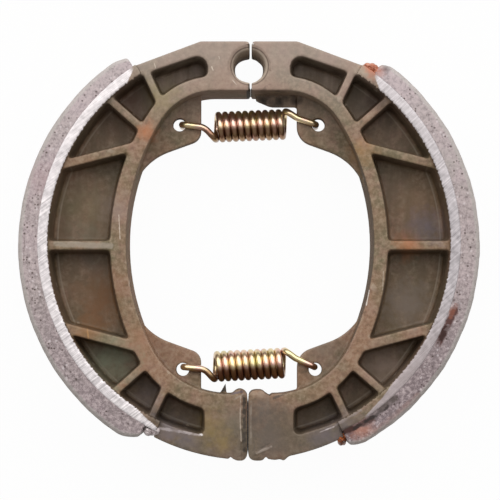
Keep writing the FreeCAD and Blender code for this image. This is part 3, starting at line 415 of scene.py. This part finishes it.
    # The milled face has a ragged inner edge, as the cast surface under it was uneven.
    bright_from, bright_to, missed_from = BRIGHT_FACE[side]
    rise = math.radians(MARKS_RISE[side])
    across_marks = (math.sin(rise), -math.cos(rise), 0.0)
    lean = add(tree, "VectorMath", "Value", {0: place, 1: across_marks}, operation="DOT_PRODUCT")
    line = add(tree, "CombineXYZ", 0, {"X": lean})
    marks = add(tree, "TexNoise", 0, {
        "Vector": line, "Scale": per_mm(0.55), "Detail": 4.0, "Roughness": 0.85})
    broken = add(tree, "TexNoise", 0, {"Vector": place, "Scale": per_mm(1.4), "Detail": 3.0})
    marks = add(tree, "Math", 0, {0: broken, 1: 0.35, 2: marks}, operation="MULTIPLY_ADD")
    ragged = add(tree, "Math", 0, {0: marks, 1: 0.9 * MM, 2: radius}, operation="MULTIPLY_ADD")
    inner_edge = (TABLE_RADIUS - TABLE_THICKNESS + 0.55) * MM
    for start, end, width in ((missed_from, bright_to, 2.2), (bright_from - 4.0, bright_from, 2.0)):
        missed = add(tree, "MapRange", 0, {
            0: angle, 1: math.radians(start), 2: math.radians(end), 3: 0.0, 4: width * MM})
        ragged = add(tree, "Math", 0, {0: ragged, 1: missed}, operation="SUBTRACT")
    bright = add(tree, "MapRange", 0, {0: ragged, 1: inner_edge - 0.1 * MM, 2: inner_edge + 0.1 * MM})
    top_face = add(tree, "MapRange", 0, {
        0: height, 1: (MID_HEIGHT - 0.3) * MM, 2: (MID_HEIGHT - 0.2) * MM})
    bright = add(tree, "Math", 0, {0: bright, 1: top_face}, operation="MULTIPLY")
    for limit, step in ((bright_from, -1.2), (bright_to, 1.2)):
        inside = add(tree, "MapRange", 0, {
            0: angle, 1: math.radians(limit), 2: math.radians(limit + step)})
        bright = add(tree, "Math", 0, {0: bright, 1: inside}, operation="MULTIPLY")
    share = add(tree, "MapRange", 0, {0: marks, 1: 0.45, 2: 0.85})
    darkest, brightest = MILLED_TONES[side]
    milled = add(tree, "Mix", 2, {0: share, 6: darkest, 7: brightest}, data_type="RGBA")
    ends = ((5.0, 35.0, "#f4ecec", 0.22), (-10.0, -30.0, "#9c8c8a", MILLED_CAM_END_DARKENING[side]))
    for low, high, shade, strength in ends:
        share = add(tree, "MapRange", 0, {0: along, 1: low * MM, 2: high * MM, 3: 0.0, 4: strength})
        milled = add(tree, "Mix", 2, {0: share, 6: milled, 7: shade}, data_type="RGBA")
    colour = add(tree, "Mix", 2, {0: bright, 6: colour, 7: milled}, data_type="RGBA")

    # The skin's relief: grain of 0.6 mm on swells of 4 mm, both coarser than the real skin's.
    grain = add(tree, "TexNoise", 0, {
        "Vector": place, "Scale": per_mm(0.6), "Detail": 3.0, "Roughness": 0.6})
    swell = add(tree, "TexNoise", 0, {"Vector": place, "Scale": per_mm(4.0), "Detail": 2.0})
    relief = add(tree, "Math", 0, {0: grain, 1: 0.35, 2: swell}, operation="MULTIPLY_ADD")
    bump = add(tree, "Bump", 0, {"Height": relief, "Strength": 0.6, "Distance": 0.15 * MM})
    shader = add(tree, "BsdfPrincipled", 0, {
        "Base Color": colour,
        "Metallic": add(tree, "Math", 0, {0: bright, 1: 0.4}, operation="MULTIPLY"),
        "Roughness": add(tree, "MapRange", 0, {0: steep, 3: 0.5, 4: 0.85}),
        "Specular IOR Level": 0.35,
        "Normal": bump,
    })
    add(tree, "OutputMaterial", None, {"Surface": shader})
    return material


def moulded_friction_lining(side):
    """Moulded brake lining, resin with fibre and mineral grit: matt, pinkish grey, finely speckled."""
    material, tree, place = new_material("moulded_friction_lining_" + side)
    broad = add(tree, "TexNoise", 0, {"Vector": place, "Scale": per_mm(9.0), "Detail": 3.0})
    share = add(tree, "MapRange", 0, {0: broad, 1: 0.35, 2: 0.65})
    colour = add(tree, "Mix", 2, {0: share, 6: "#9d9290", 7: "#a99a9c"}, data_type="RGBA")
    # It is made darker towards the cam, and a little paler towards the anchor.
    along = add(tree, "SeparateXYZ", "Y", {0: place})
    ends = ((-3.0, -30.0, "#75676a", LINING_CAM_END_DARKENING[side]), (15.0, 40.0, "#cdbfc3", 0.35))
    for low, high, shade, strength in ends:
        share = add(tree, "MapRange", 0, {0: along, 1: low * MM, 2: high * MM, 3: 0.0, 4: strength})
        colour = add(tree, "Mix", 2, {0: share, 6: colour, 7: shade}, data_type="RGBA")
    mottle = add(tree, "TexNoise", 0, {
        "Vector": place, "Scale": per_mm(0.9), "Detail": 4.0, "Roughness": 0.85})
    share = add(tree, "MapRange", 0, {0: mottle, 1: 0.46, 2: 0.66, 3: 0.0, 4: 0.75})
    colour = add(tree, "Mix", 2, {0: share, 6: colour, 7: "#c8b8b8"}, data_type="RGBA")
    share = add(tree, "MapRange", 0, {0: mottle, 1: 0.48, 2: 0.34, 3: 0.0, 4: 0.75})
    colour = add(tree, "Mix", 2, {0: share, 6: colour, 7: "#706464"}, data_type="RGBA")

    # Grit shows as dark and pale grains, each 0.3 to 0.6 mm across, closer together in some places.
    crowd = add(tree, "TexNoise", 0, {"Vector": place, "Scale": per_mm(7.0), "Detail": 1.0})
    crowd = add(tree, "MapRange", 0, {0: crowd, 1: 0.4, 2: 0.6, 3: 0.0, 4: 0.22})
    grains = ((0.65, 0.93, "#43342f", 0.85), (0.8, 0.97, "#d8ced0", 0.5))
    for size, red, shade, strength in grains:
        cells = add(tree, "TexVoronoi", 0, {"Vector": place, "Scale": per_mm(size)}).node.outputs
        pick = add(tree, "SeparateColor", "Red", {0: cells["Color"]})
        core = add(tree, "MapRange", 0, {0: cells["Distance"], 1: 0.45, 2: 0.25, 3: 0.0, 4: strength})
        pick = add(tree, "Math", 0, {0: pick, 1: crowd}, operation="ADD")
        chosen = add(tree, "MapRange", 0, {0: pick, 1: red, 2: red + 0.04})
        grain = add(tree, "Math", 0, {0: core, 1: chosen}, operation="MULTIPLY")
        colour = add(tree, "Mix", 2, {0: grain, 6: colour, 7: shade}, data_type="RGBA")

    # What is ground, the outer face and the corner along it, is smoother and greyer.
    ground = add(tree, "Attribute", "Fac", attribute_name="ground")
    share = add(tree, "Math", 0, {0: ground, 1: 0.6}, operation="MULTIPLY")
    colour = add(tree, "Mix", 2, {0: share, 6: colour, 7: "#b4afaa"}, data_type="RGBA")
    colour = stained_and_shaded(tree, place, colour, LINING_STAINS[side])
    colour = streaked(tree, place, colour, LINING_STREAKS[side], WIDTH - 1.0)
    bump = add(tree, "Bump", 0, {"Height": mottle, "Strength": 0.7, "Distance": 0.25 * MM})
    shader = add(tree, "BsdfPrincipled", 0, {"Base Color": colour, "Roughness": 0.85, "Normal": bump})
    add(tree, "OutputMaterial", None, {"Surface": shader})
    return material


# The line each spring lies along: its slope, and its y in mm where it crosses the middle.
SPRING_LINES = {"anchor": (0.042, 30.7), "cam": (0.052, -27.3)}


def yellow_zinc_wire(end):
    """Spring wire with yellow chromated zinc: glossy, gold going to pink and green."""
    material, tree, place = new_material("yellow_zinc_spring_wire_" + end)
    wash = add(tree, "TexNoise", 0, {"Vector": place, "Scale": per_mm(3.0), "Detail": 2.0})
    share = add(tree, "MapRange", 0, {0: wash, 1: 0.4, 2: 0.6})
    colour = add(tree, "Mix", 2, {0: share, 6: "#ecd9ab", 7: "#e6c0b0"}, data_type="RGBA")
    tint = add(tree, "TexNoise", 0, {"Vector": place, "Scale": per_mm(5.0), "Detail": 1.0})
    share = add(tree, "MapRange", 0, {0: tint, 1: 0.52, 2: 0.7, 3: 0.0, 4: 0.5})
    colour = add(tree, "Mix", 2, {0: share, 6: colour, 7: "#c3c486"}, data_type="RGBA")
    # Painted shade: the wire's side towards the cam, turned away from the lamp, is painted dark brown.
    slope, height_at_middle = SPRING_LINES[end]
    across = (-slope, 1.0, 0.0)
    line = add(tree, "VectorMath", "Value", {0: place, 1: across}, operation="DOT_PRODUCT")
    low = (height_at_middle - 0.6) * MM
    share = add(tree, "MapRange", 0, {0: line, 1: low + 0.5 * MM, 2: low - 0.5 * MM, 3: 0.0, 4: 0.8})
    colour = add(tree, "Mix", 2, {0: share, 6: colour, 7: "#7f563e"}, data_type="RGBA")
    shader = add(tree, "BsdfPrincipled", 0, {
        "Base Color": colour, "Metallic": 1.0, "Roughness": 0.3})
    add(tree, "OutputMaterial", None, {"Surface": shader})
    return material


def cured_glue(name, dark, light):
    """Phenolic glue squeezed out and baked: glossy, dark in the hollows and lighter where thick."""
    material, tree, place = new_material("baked_phenolic_glue_" + name)
    lumps = add(tree, "TexNoise", 0, {
        "Vector": place, "Scale": per_mm(1.6), "Detail": 4.0, "Roughness": 0.7})
    share = add(tree, "MapRange", 0, {0: lumps, 1: 0.4, 2: 0.6})
    colour = add(tree, "Mix", 2, {0: share, 6: dark, 7: light}, data_type="RGBA")
    bump = add(tree, "Bump", 0, {"Height": lumps, "Strength": 0.8, "Distance": 0.3 * MM})
    shader = add(tree, "BsdfPrincipled", 0, {"Base Color": colour, "Roughness": 0.4, "Normal": bump})
    add(tree, "OutputMaterial", None, {"Surface": shader})
    return material


# Castings

def smooth_step(value, low, high):
    """0 below low, 1 above high, and a smooth rise between them; high may be below low."""
    share = np.clip((value - low) / (high - low), 0.0, 1.0)
    return share * share * (3.0 - 2.0 * share)


def linked(name, mesh):
    """A new object of this mesh at the origin."""
    piece = bpy.data.objects.new(name, mesh)
    scene.collection.objects.link(piece)
    return piece


def with_modifiers_applied(piece):
    """The piece with its modifiers made part of its mesh, shaded smooth."""
    graph = bpy.context.evaluated_depsgraph_get()
    mesh = bpy.data.meshes.new_from_object(piece.evaluated_get(graph))
    piece.modifiers.clear()
    piece.data = mesh
    mesh.shade_smooth()
    return piece


def points_of(mesh):
    """The mesh's points as an array of x, y and z in millimetres."""
    flat = np.empty(len(mesh.vertices) * 3)
    mesh.vertices.foreach_get("co", flat)
    return flat.reshape(-1, 3) / MM


def mark(mesh, name, values):
    """Store one number per point on the mesh, for its material to read."""
    mesh.attributes.new(name, "FLOAT", "POINT").data.foreach_set("value", values)


# Places where the metal stands out of, or falls short of, the drawn outline, as the photo shows:
# x, y, reach along x, reach along y, and the push along y, all in mm.
CASTING_NICKS = {
    "left": [
        (-4.35, -49.6, 0.35, 0.8, 0.45),
        (-2.3, -33.2, 0.9, 0.9, 0.18),
    ],
    "right": [
        (4.0, -49.7, 0.35, 0.8, 0.5),
        (4.9, -34.0, 0.45, 0.7, -0.45),
        (6.4, -49.4, 1.3, 1.4, -0.4),
        (8.3, -49.1, 0.8, 1.3, -0.75),
    ],
}


def pocket_walls(mesh, side):
    """The indices of the points on the pockets' walls and on the eased edges above them.

    They lie inside the table, more than 1.5 mm beyond the waist's circle or past the opening's
    ends, and face sideways.
    """
    points = points_of(mesh)
    normals = np.empty(len(mesh.vertices) * 3)
    mesh.vertex_normals.foreach_get("vector", normals)
    upright = np.abs(normals.reshape(-1, 3)[:, 2])
    sign = SIDE_SIGN[side]
    from_table = np.hypot(points[:, 0] - TABLE_CENTRE[0] * sign, points[:, 1] - TABLE_CENTRE[1])
    from_waist = np.hypot(points[:, 0] - WAIST_CENTRE[0] * sign, points[:, 1] - WAIST_CENTRE[1])
    inside = (from_table < TABLE_RADIUS - TABLE_THICKNESS + 0.6) & (np.abs(points[:, 0]) > 10.0)
    past_ends = (points[:, 1] > OPENING_TOP + 1.3) | (points[:, 1] < OPENING_BOTTOM - 1.3)
    beyond_rim = (from_waist > WAIST_RADIUS + 1.5) | past_ends
    below_face = np.abs(points[:, 2] - MID_HEIGHT) < CAST_FACE + 0.05
    return np.nonzero((upright < 0.93) & inside & beyond_rim & below_face)[0].tolist()


def cast_shape(side):
    """A casting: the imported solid's skin rebuilt on a grid of 0.3 mm, with its edges eased.

    The pockets' walls are smoothed further, but only sideways, so that their corners are rounder.
    Each nick moves points along y by its push times a bell curve of their distance from it.
    """
    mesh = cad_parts["shoe_casting_" + side].data.copy()
    piece = linked("casting_" + side, mesh)
    weld = piece.modifiers.new("weld", "WELD")
    weld.merge_threshold = 0.002 * MM
    skin = piece.modifiers.new("skin", "REMESH")
    skin.mode = "VOXEL"
    skin.voxel_size = 0.3 * MM
    easing = piece.modifiers.new("easing", "SMOOTH")
    easing.factor = 0.5
    easing.iterations = 3
    with_modifiers_applied(piece)
    piece.vertex_groups.new(name="walls").add(pocket_walls(piece.data, side), 1.0, "REPLACE")
    rounding = piece.modifiers.new("rounding", "SMOOTH")
    rounding.vertex_group = "walls"
    rounding.use_z = False
    rounding.factor = 0.5
    rounding.iterations = 24
    with_modifiers_applied(piece)
    piece.vertex_groups.clear()
    points = points_of(piece.data)
    for x, y, reach_x, reach_y, push in CASTING_NICKS[side]:
        away = ((points[:, 0] - x) / reach_x) ** 2 + ((points[:, 1] - y) / reach_y) ** 2
        points[:, 1] += push * np.exp(-away)
    points[:, 1] = np.clip(points[:, 1], 0.02 - CAST_END, CAST_END - 0.02)
    points = shift_gaps(draft_seat(narrow_gaps(level_cam_pad(points, side))))
    points = tear_table_edge(points, side)
    piece.data.vertices.foreach_set("co", (points * MM).ravel())
    fewer = piece.modifiers.new("fewer", "DECIMATE")
    fewer.ratio = 0.37
    with_modifiers_applied(piece)
    mark_places(piece.data, side)
    piece.data.materials.clear()
    piece.data.materials.append(die_cast_aluminium(side))
    return piece


def level_cam_pad(points, side):
    """The cam pad's face pressed down level with the cast face, but for the marks on it.

    On the left a strip along the gap is 0.35 mm lower, with a wavy edge. On the right a ridge
    runs across the lower corner, as a bell curve of the distance from its line.
    """
    x, y, height = points[:, 0], points[:, 1], points[:, 2] - MID_HEIGHT
    on_pad = (np.abs(x) < 4.8) & (y < -32.5) & (np.abs(height) > CAST_FACE - 0.6)
    face = np.full(len(points), CAST_FACE)
    if side == "left":
        edge = -1.7 + 0.12 * np.sin(1.9 * y) + 0.1 * np.sin(4.3 * y + 1.0)
        face -= 0.35 * smooth_step(x, edge - 0.15, edge + 0.15)
    else:
        off_line = (y + 48.2) - (x - 1.9) * 0.48
        face += 0.22 * np.exp(-(off_line / 0.28) ** 2) * (x > 1.4) * (x < 5.4)
    pressed = np.sign(height) * np.minimum(np.abs(height), face)
    points[:, 2] = np.where(on_pad, pressed + MID_HEIGHT, points[:, 2])
    return points


def narrow_gaps(points):
    """The faces of each gap bulge towards each other halfway down, so that no light comes through.

    The x of the points on the cam pads' faces, and below the seat, shrinks to a fourteenth.
    """
    x, y, height = points[:, 0], points[:, 1], np.abs(points[:, 2] - MID_HEIGHT)
    halfway = smooth_step(height, CAST_FACE - 2.0, CAST_FACE - 5.0)
    cam_face = smooth_step(np.abs(x), 0.45, 0.3)
    cam_face = cam_face * smooth_step(y, -35.0, -36.5) * smooth_step(y, -49.0, -47.5)
    bar_face = smooth_step(np.abs(x), 0.5, 0.35)
    bar_face = bar_face * smooth_step(y, 39.2, 38.8) * smooth_step(y, 36.0, 37.0)
    points[:, 0] = x * (1.0 - 0.93 * halfway * (cam_face + bar_face))
    return points


def shift_gaps(points):
    """The gap by the anchor seat lies 0.4 mm right of the middle, the one at the cam 0.28 mm left.

    The shift fades out by 2.6 mm from the middle.
    """
    x, y = points[:, 0], points[:, 1]
    near = smooth_step(np.abs(x), 2.6, 0.4)
    points[:, 0] = x + near * (0.4 * smooth_step(y, 30.0, 36.0) - 0.28 * smooth_step(y, -30.0, -33.5))
    return points


def draft_seat(points):
    """The anchor seat narrows from both faces to the mid-plane, and its mouth is worn wide.

    A point's distance from the seat's axis shrinks by 0.055 mm for each mm below the face, and
    grows by up to 0.45 mm within 1.1 mm of it. The gaps' faces keep their x.
    """
    away = np.hypot(points[:, 0], points[:, 1] - SEAT_HEIGHT)
    depth = CAST_FACE - np.abs(points[:, 2] - MID_HEIGHT)
    on_seat = smooth_step(away, 4.4, 4.15) * (depth > 0.0)
    mouth = 0.45 * smooth_step(depth, 1.1, 0.0) * smooth_step(away, 5.2, 4.6)
    shrink = 1.0 - (on_seat * 0.055 * np.maximum(depth, 0.0) - mouth) / np.maximum(away, 1.0)
    points[:, 1] = SEAT_HEIGHT + (points[:, 1] - SEAT_HEIGHT) * shrink
    points[:, 0] *= np.where(np.abs(points[:, 0]) < 0.6, 1.0, shrink)
    return points


def tear_table_edge(points, side):
    """The inner edge of the milled face is torn: its radius varies by up to 0.2 mm in short waves."""
    centre = np.array([TABLE_CENTRE[0] * SIDE_SIGN[side], TABLE_CENTRE[1]])
    across = points[:, :2] - centre
    radius = np.linalg.norm(across, axis=1)
    angle = np.arctan2(across[:, 1], across[:, 0])
    waves = np.sin(331.0 * angle) + np.sin(209.0 * angle + 1.0) + np.sin(483.0 * angle + 2.0)
    near = smooth_step(np.abs(radius - TABLE_RADIUS + TABLE_THICKNESS), 0.7, 0.3)
    near = near * (np.abs(points[:, 2] - MID_HEIGHT) > MID_HEIGHT - 0.7)
    points[:, :2] += across / radius[:, None] * (0.07 * waves * near)[:, None]
    return points


def mark_places(mesh, side):
    """Marks where the casting gets painted shade, and where the gaps' painted shade goes.

    Painted shade goes all over but in the seat and in the hub opening, which lies inside the waist's
    circle between the anchor bar and the cam bar. The gaps' painted shade lies on the faces of the
    two narrow gaps, from 0.2 mm below their edges, and is darkest from 0.8 mm down.
    """
    points = points_of(mesh)
    x, y, height = points[:, 0], points[:, 1], np.abs(points[:, 2] - MID_HEIGHT)
    waist_x = WAIST_CENTRE[0] * SIDE_SIGN[side]
    away = np.hypot(x - waist_x, y - WAIST_CENTRE[1]) - WAIST_RADIUS
    opening = (away < 0.4) & (y < OPENING_TOP + 0.4) & (y > OPENING_BOTTOM - 0.4)
    seat = np.hypot(x, y - SEAT_HEIGHT) < 4.6
    mark(mesh, "painted_shade_mask", 1.0 - 0.9 * opening - 0.9 * seat)
    deep = smooth_step(height, CAST_FACE - 0.2, CAST_FACE - 0.8)
    in_gap = smooth_step(np.abs(x), 0.75, 0.5) * (1.0 - seat) * (1.0 - (y > 48.5) - (y < -48.5))
    mark(mesh, "painted_gap_shade", deep * in_gap)


# Linings

# The rings that round off each end of a lining: size of the section from 0 to 1, how far its
# edges are eased inwards in mm, and how far the ring lies from the end in mm.
END_RINGS = np.array([
    (0.0, 0.5, 0.0), (0.4, 0.5, 0.0), (0.75, 0.5, 0.0), (1.0, 0.5, 0.0),
    (1.0, 0.25, 0.08), (1.0, 0.08, 0.25), (1.0, 0.0, 0.5),
])


def lining_section():
    """The lining's cross-section, points round it as (share of the thickness, mm added, height).

    Eight corners: the inner edges lap a little over the casting's eased edge, where glue fills
    the corner, and the outer edges are ground off by the chamfer.
    """
    lap = 0.22
    corners = np.array([
        (0.0, 0.0, lap), (0.0, -lap, 0.0),
        (1.0, -LINING_CHAMFER, 0.0), (1.0, 0.0, LINING_CHAMFER),
        (1.0, 0.0, WIDTH - LINING_CHAMFER), (1.0, -LINING_CHAMFER, WIDTH),
        (0.0, -lap, WIDTH), (0.0, 0.0, WIDTH - lap),
    ])
    points_per_run = [1, 9, 3, 46, 3, 9, 1, 16]
    following = np.roll(corners, -1, axis=0)
    runs = []
    for corner, target, count in zip(corners, following, points_per_run):
        runs.append(corner + (target - corner) * (np.arange(count) / count)[:, None])
    return np.concatenate(runs)


def lining_shape(side):
    """A lining: its cross-section carried along the shoe's arc, closed by a flat cap at each end.

    At an angle about the lining's own centre the inner face lies on the table and the outer face
    on the ground radius, less a run-down that grows as the power 1.6 of the way to the end.
    Waves of several lengths make the ground face a little uneven.
    """
    centre = LINING_CENTRE[side]
    first, last = np.radians(LINING_ANGLES[side])
    scale, eased, from_end = END_RINGS.T
    from_end = from_end / LINING_RADIUS
    middle = np.linspace(first + 2.0 * from_end[-1], last - 2.0 * from_end[-1], 290)
    turn = np.concatenate([first + from_end, middle, last - from_end[::-1]])
    scale = np.concatenate([scale, np.ones(len(middle)), scale[::-1]])
    eased = np.concatenate([eased, np.zeros(len(middle)), eased[::-1]])

    offset_x = TABLE_CENTRE[0] - centre[0]
    offset_y = TABLE_CENTRE[1] - centre[1]
    table = TABLE_RADIUS + BOND_LINE
    along = offset_x * np.cos(turn) + offset_y * np.sin(turn)
    inner = along + np.sqrt(along ** 2 - offset_x ** 2 - offset_y ** 2 + table ** 2)
    taper = np.radians(LINING_TAPER[side])
    start_share = np.clip(1.0 - (turn - first) / taper[0], 0.0, 1.0)
    end_share = np.clip(1.0 - (last - turn) / taper[1], 0.0, 1.0)
    drop = LINING_DROP[side][0] * start_share ** 1.6 + LINING_DROP[side][1] * end_share ** 1.6
    outer = LINING_RADIUS - drop

    section = lining_section()
    share, extra, height = section[:, 0], section[:, 1], section[:, 2]
    share = 0.5 + (share[None, :] - 0.5) * scale[:, None]
    extra = extra[None, :] * scale[:, None] + eased[:, None] * (1.0 - 2.0 * share)
    tall = scale * (1.0 - eased / MID_HEIGHT)
    height = MID_HEIGHT + (height[None, :] - MID_HEIGHT) * tall[:, None]
    radius = inner[:, None] + (outer - inner)[:, None] * share + extra
    uneven = 0.5 * np.sin(23.0 * turn + 1.0) + 0.3 * np.sin(57.0 * turn)
    uneven += 0.2 * np.sin(131.0 * turn + 2.0)
    radius -= GROUND_WAVE[side] * (1.0 + uneven)[:, None] * np.clip(share, 0.0, 1.0) ** 4
    x = (centre[0] + radius * np.cos(turn)[:, None]) * SIDE_SIGN[side]
    y = centre[1] + radius * np.sin(turn)[:, None]
    points = np.stack([x, y, height], axis=-1).reshape(-1, 3)
    quads = sweep_quads(len(turn), len(section))
    if side == "left":
        quads = quads[:, ::-1]
    ground = np.tile(section[:, 0] > 0.99, len(turn))
    return closed_piece("friction_pad_" + side, points, quads, moulded_friction_lining(side), ground)


def sweep_quads(rings, count):
    """The quads between rings that have the same count of points each, as rows of four indices."""
    ring = np.arange(rings - 1)[:, None] * count
    spot = np.arange(count)[None, :]
    following = (spot + 1) % count
    corners = [ring + spot, ring + following, ring + count + following, ring + count + spot]
    return np.stack(corners, axis=-1).reshape(-1, 4)


def closed_piece(name, points, quads, material, ground):
    """A piece of quads whose first and last rings are single places, merged into closed ends.

    The last input has one number per point, 1 where the piece is ground.
    """
    mesh = bpy.data.meshes.new(name)
    mesh.from_pydata(points * MM, [], quads)
    mark(mesh, "ground", ground)
    mesh.materials.append(material)
    piece = linked(name, mesh)
    weld = piece.modifiers.new("closed_ends", "WELD")
    weld.merge_threshold = 0.001 * MM
    with_modifiers_applied(piece)
    piece.data.set_sharp_from_angle(angle=math.radians(60.0))
    return piece


# Springs

def spring_shape(end):
    """A spring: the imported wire, its points merged so that it shades smoothly."""
    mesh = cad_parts["spring_%s_side" % end].data.copy()
    piece = linked("extension_spring_" + end, mesh)
    weld = piece.modifiers.new("weld", "WELD")
    weld.merge_threshold = 0.002 * MM
    with_modifiers_applied(piece)
    piece.data.materials.clear()
    piece.data.materials.append(yellow_zinc_wire(end))
    return piece


# Glue that was squeezed out at the linings' ends: the shoe, each bead's x, y, z and three radii
# in mm, the colour in the hollows and the colour where it is thick.
GLUE_BEADS = {
    "left_cam_end": ("left", [
        (-23.5, -43.0, 23.1, 1.6, 1.1, 1.5),
        (-22.4, -42.9, 23.3, 1.3, 1.1, 1.4),
    ], "#948686", "#d8cccc"),
    "right_anchor_end": ("right", [
        (28.3, 43.9, 23.9, 1.1, 0.8, 0.95),
        (29.4, 43.5, 23.9, 1.3, 1.1, 1.0),
        (30.5, 42.8, 23.9, 1.1, 1.0, 1.0),
    ], "#9c563a", "#c98a72"),
    "right_cam_end": ("right", [
        (22.1, -45.3, 22.6, 1.1, 1.1, 1.9),
        (23.2, -43.9, 23.4, 1.0, 0.9, 1.1),
        (24.0, -43.2, 23.9, 0.9, 0.6, 0.8),
    ], "#4a2413", "#9c5630"),
}


def glue_shape(name):
    """Beads of glue: balls stretched to three radii, with waves that make them lumpy.

    With the angles a across and d down, the ball's radius is
    1 + 0.12 sin(3 a + 1) sin(2 d) + 0.08 sin(5 a + 4 d), and 1 at its poles.
    """
    places, dark, light = GLUE_BEADS[name][1:]
    across = np.linspace(0.0, math.tau, 24, endpoint=False)[None, :]
    down = np.linspace(0.0, math.pi, 13)[:, None]
    lumps = 1.0 + 0.12 * np.sin(3.0 * across + 1.0) * np.sin(2.0 * down)
    lumps += 0.08 * np.sin(5.0 * across + 4.0 * down)
    lumps[[0, -1]] = 1.0
    east, north, up = np.sin(down) * np.cos(across), np.sin(down) * np.sin(across), np.cos(down)
    ball = np.stack([east * lumps, north * lumps, up * lumps], axis=-1).reshape(-1, 3)
    quads = sweep_quads(len(down), across.size)[:, ::-1]
    points = np.concatenate([np.array(bead[:3]) + ball * np.array(bead[3:]) for bead in places])
    quads = np.concatenate([quads + number * len(ball) for number in range(len(places))])
    material = cured_glue(name, dark, light)
    return closed_piece("squeezed_glue_" + name, points, quads, material, np.zeros(len(points)))


for side in ("left", "right"):
    casting = cast_shape(side)
    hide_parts("shoe_casting_" + side)
    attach(casting, side + "_shoe")
    lining = lining_shape(side)
    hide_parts("lining_" + side)
    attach(lining, side + "_shoe")

for end in ("anchor", "cam"):
    spring = spring_shape(end)
    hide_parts("spring_%s_side" % end)
    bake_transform(spring)

for name in GLUE_BEADS:
    glue = glue_shape(name)
    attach(glue, GLUE_BEADS[name][0] + "_shoe")


# Studio

def make_floor():
    """White paper just under the set: pure white to the camera but for the set's faint shadow."""
    half = 600.0 * MM
    corners = [(-half, -half, 0), (half, -half, 0), (half, half, 0), (-half, half, 0)]
    mesh = bpy.data.meshes.new("floor")
    mesh.from_pydata(corners, [], [(0, 1, 2, 3)])
    floor = linked("floor", mesh)
    floor.location.z = -0.02 * MM
    material, tree = new_material("white_paper")[:2]
    matte = add(tree, "BsdfDiffuse", 0, {"Color": "#d9d7d4"})
    white = add(tree, "Emission", 0, {"Color": "#ffffff", "Strength": 1.0})
    seen = add(tree, "LightPath", "Is Camera Ray")
    for ray in ("Is Glossy Ray", "Is Transmission Ray"):
        seen = add(tree, "Math", 0, {0: seen, 1: add(tree, "LightPath", ray)}, operation="MAXIMUM")
    # The last three hundredths show the light on the paper, and so the shadow.
    share = add(tree, "Math", 0, {0: seen, 1: 0.97}, operation="MULTIPLY")
    shader = add(tree, "MixShader", 0, {0: share, 1: matte, 2: white})
    add(tree, "OutputMaterial", None, {"Surface": shader})
    mesh.materials.append(material)


def make_world():
    """White to the camera, and a soft even grey that lights the set from all round."""
    world = bpy.data.worlds.new("studio")
    scene.world = world
    world.use_nodes = True
    tree = world.node_tree
    tree.nodes.clear()
    dim = add(tree, "Background", 0, {"Color": "#f2f0ec", "Strength": 0.42})
    white = add(tree, "Background", 0, {"Color": "#ffffff", "Strength": 1.0})
    camera_ray = add(tree, "LightPath", "Is Camera Ray")
    through = add(tree, "LightPath", "Is Transmission Ray")
    seen = add(tree, "Math", 0, {0: camera_ray, 1: through}, operation="MAXIMUM")
    shader = add(tree, "MixShader", 0, {0: seen, 1: dim, 2: white})
    add(tree, "OutputWorld", None, {"Surface": shader})


def aim(place, target):
    """The rotation that points an object's -Z axis from its place to a target."""
    return (Vector(target) - Vector(place)).to_track_quat("-Z", "Y").to_euler()


def make_lamp(name, place, width, depth, power):
    """A wide soft lamp that faces the set: place, width and depth in metres, power in watts."""
    lamp = bpy.data.lights.new(name, "AREA")
    lamp.shape = "RECTANGLE"
    lamp.size = width
    lamp.size_y = depth
    lamp.energy = power
    holder = bpy.data.objects.new(name, lamp)
    holder.location = place
    holder.rotation_euler = aim(place, (0.0, 0.0, 0.0))
    scene.collection.objects.link(holder)


def make_camera():
    """600 mm above the front face, over a point a little below the middle, aimed at the middle.

    The photo is 500 pixels wide, and its lens is 2528.7 of its pixels long.
    """
    lens = bpy.data.cameras.new("camera")
    lens.sensor_width = 36.0
    lens.lens = lens.sensor_width * 2528.7 / 500.0
    lens.clip_start = 0.05
    camera = bpy.data.objects.new("camera", lens)
    camera.location = (0.24 * MM, -23.73 * MM, (WIDTH + 600.0) * MM)
    camera.rotation_euler = aim(camera.location, (0.24 * MM, 0.0, WIDTH * MM))
    scene.collection.objects.link(camera)
    scene.camera = camera


make_floor()
make_world()
make_lamp("key_softbox", (0.0, 0.45, 0.62), 2.0, 0.95, 11.5)
make_camera()
scene.view_settings.view_transform = "Standard"
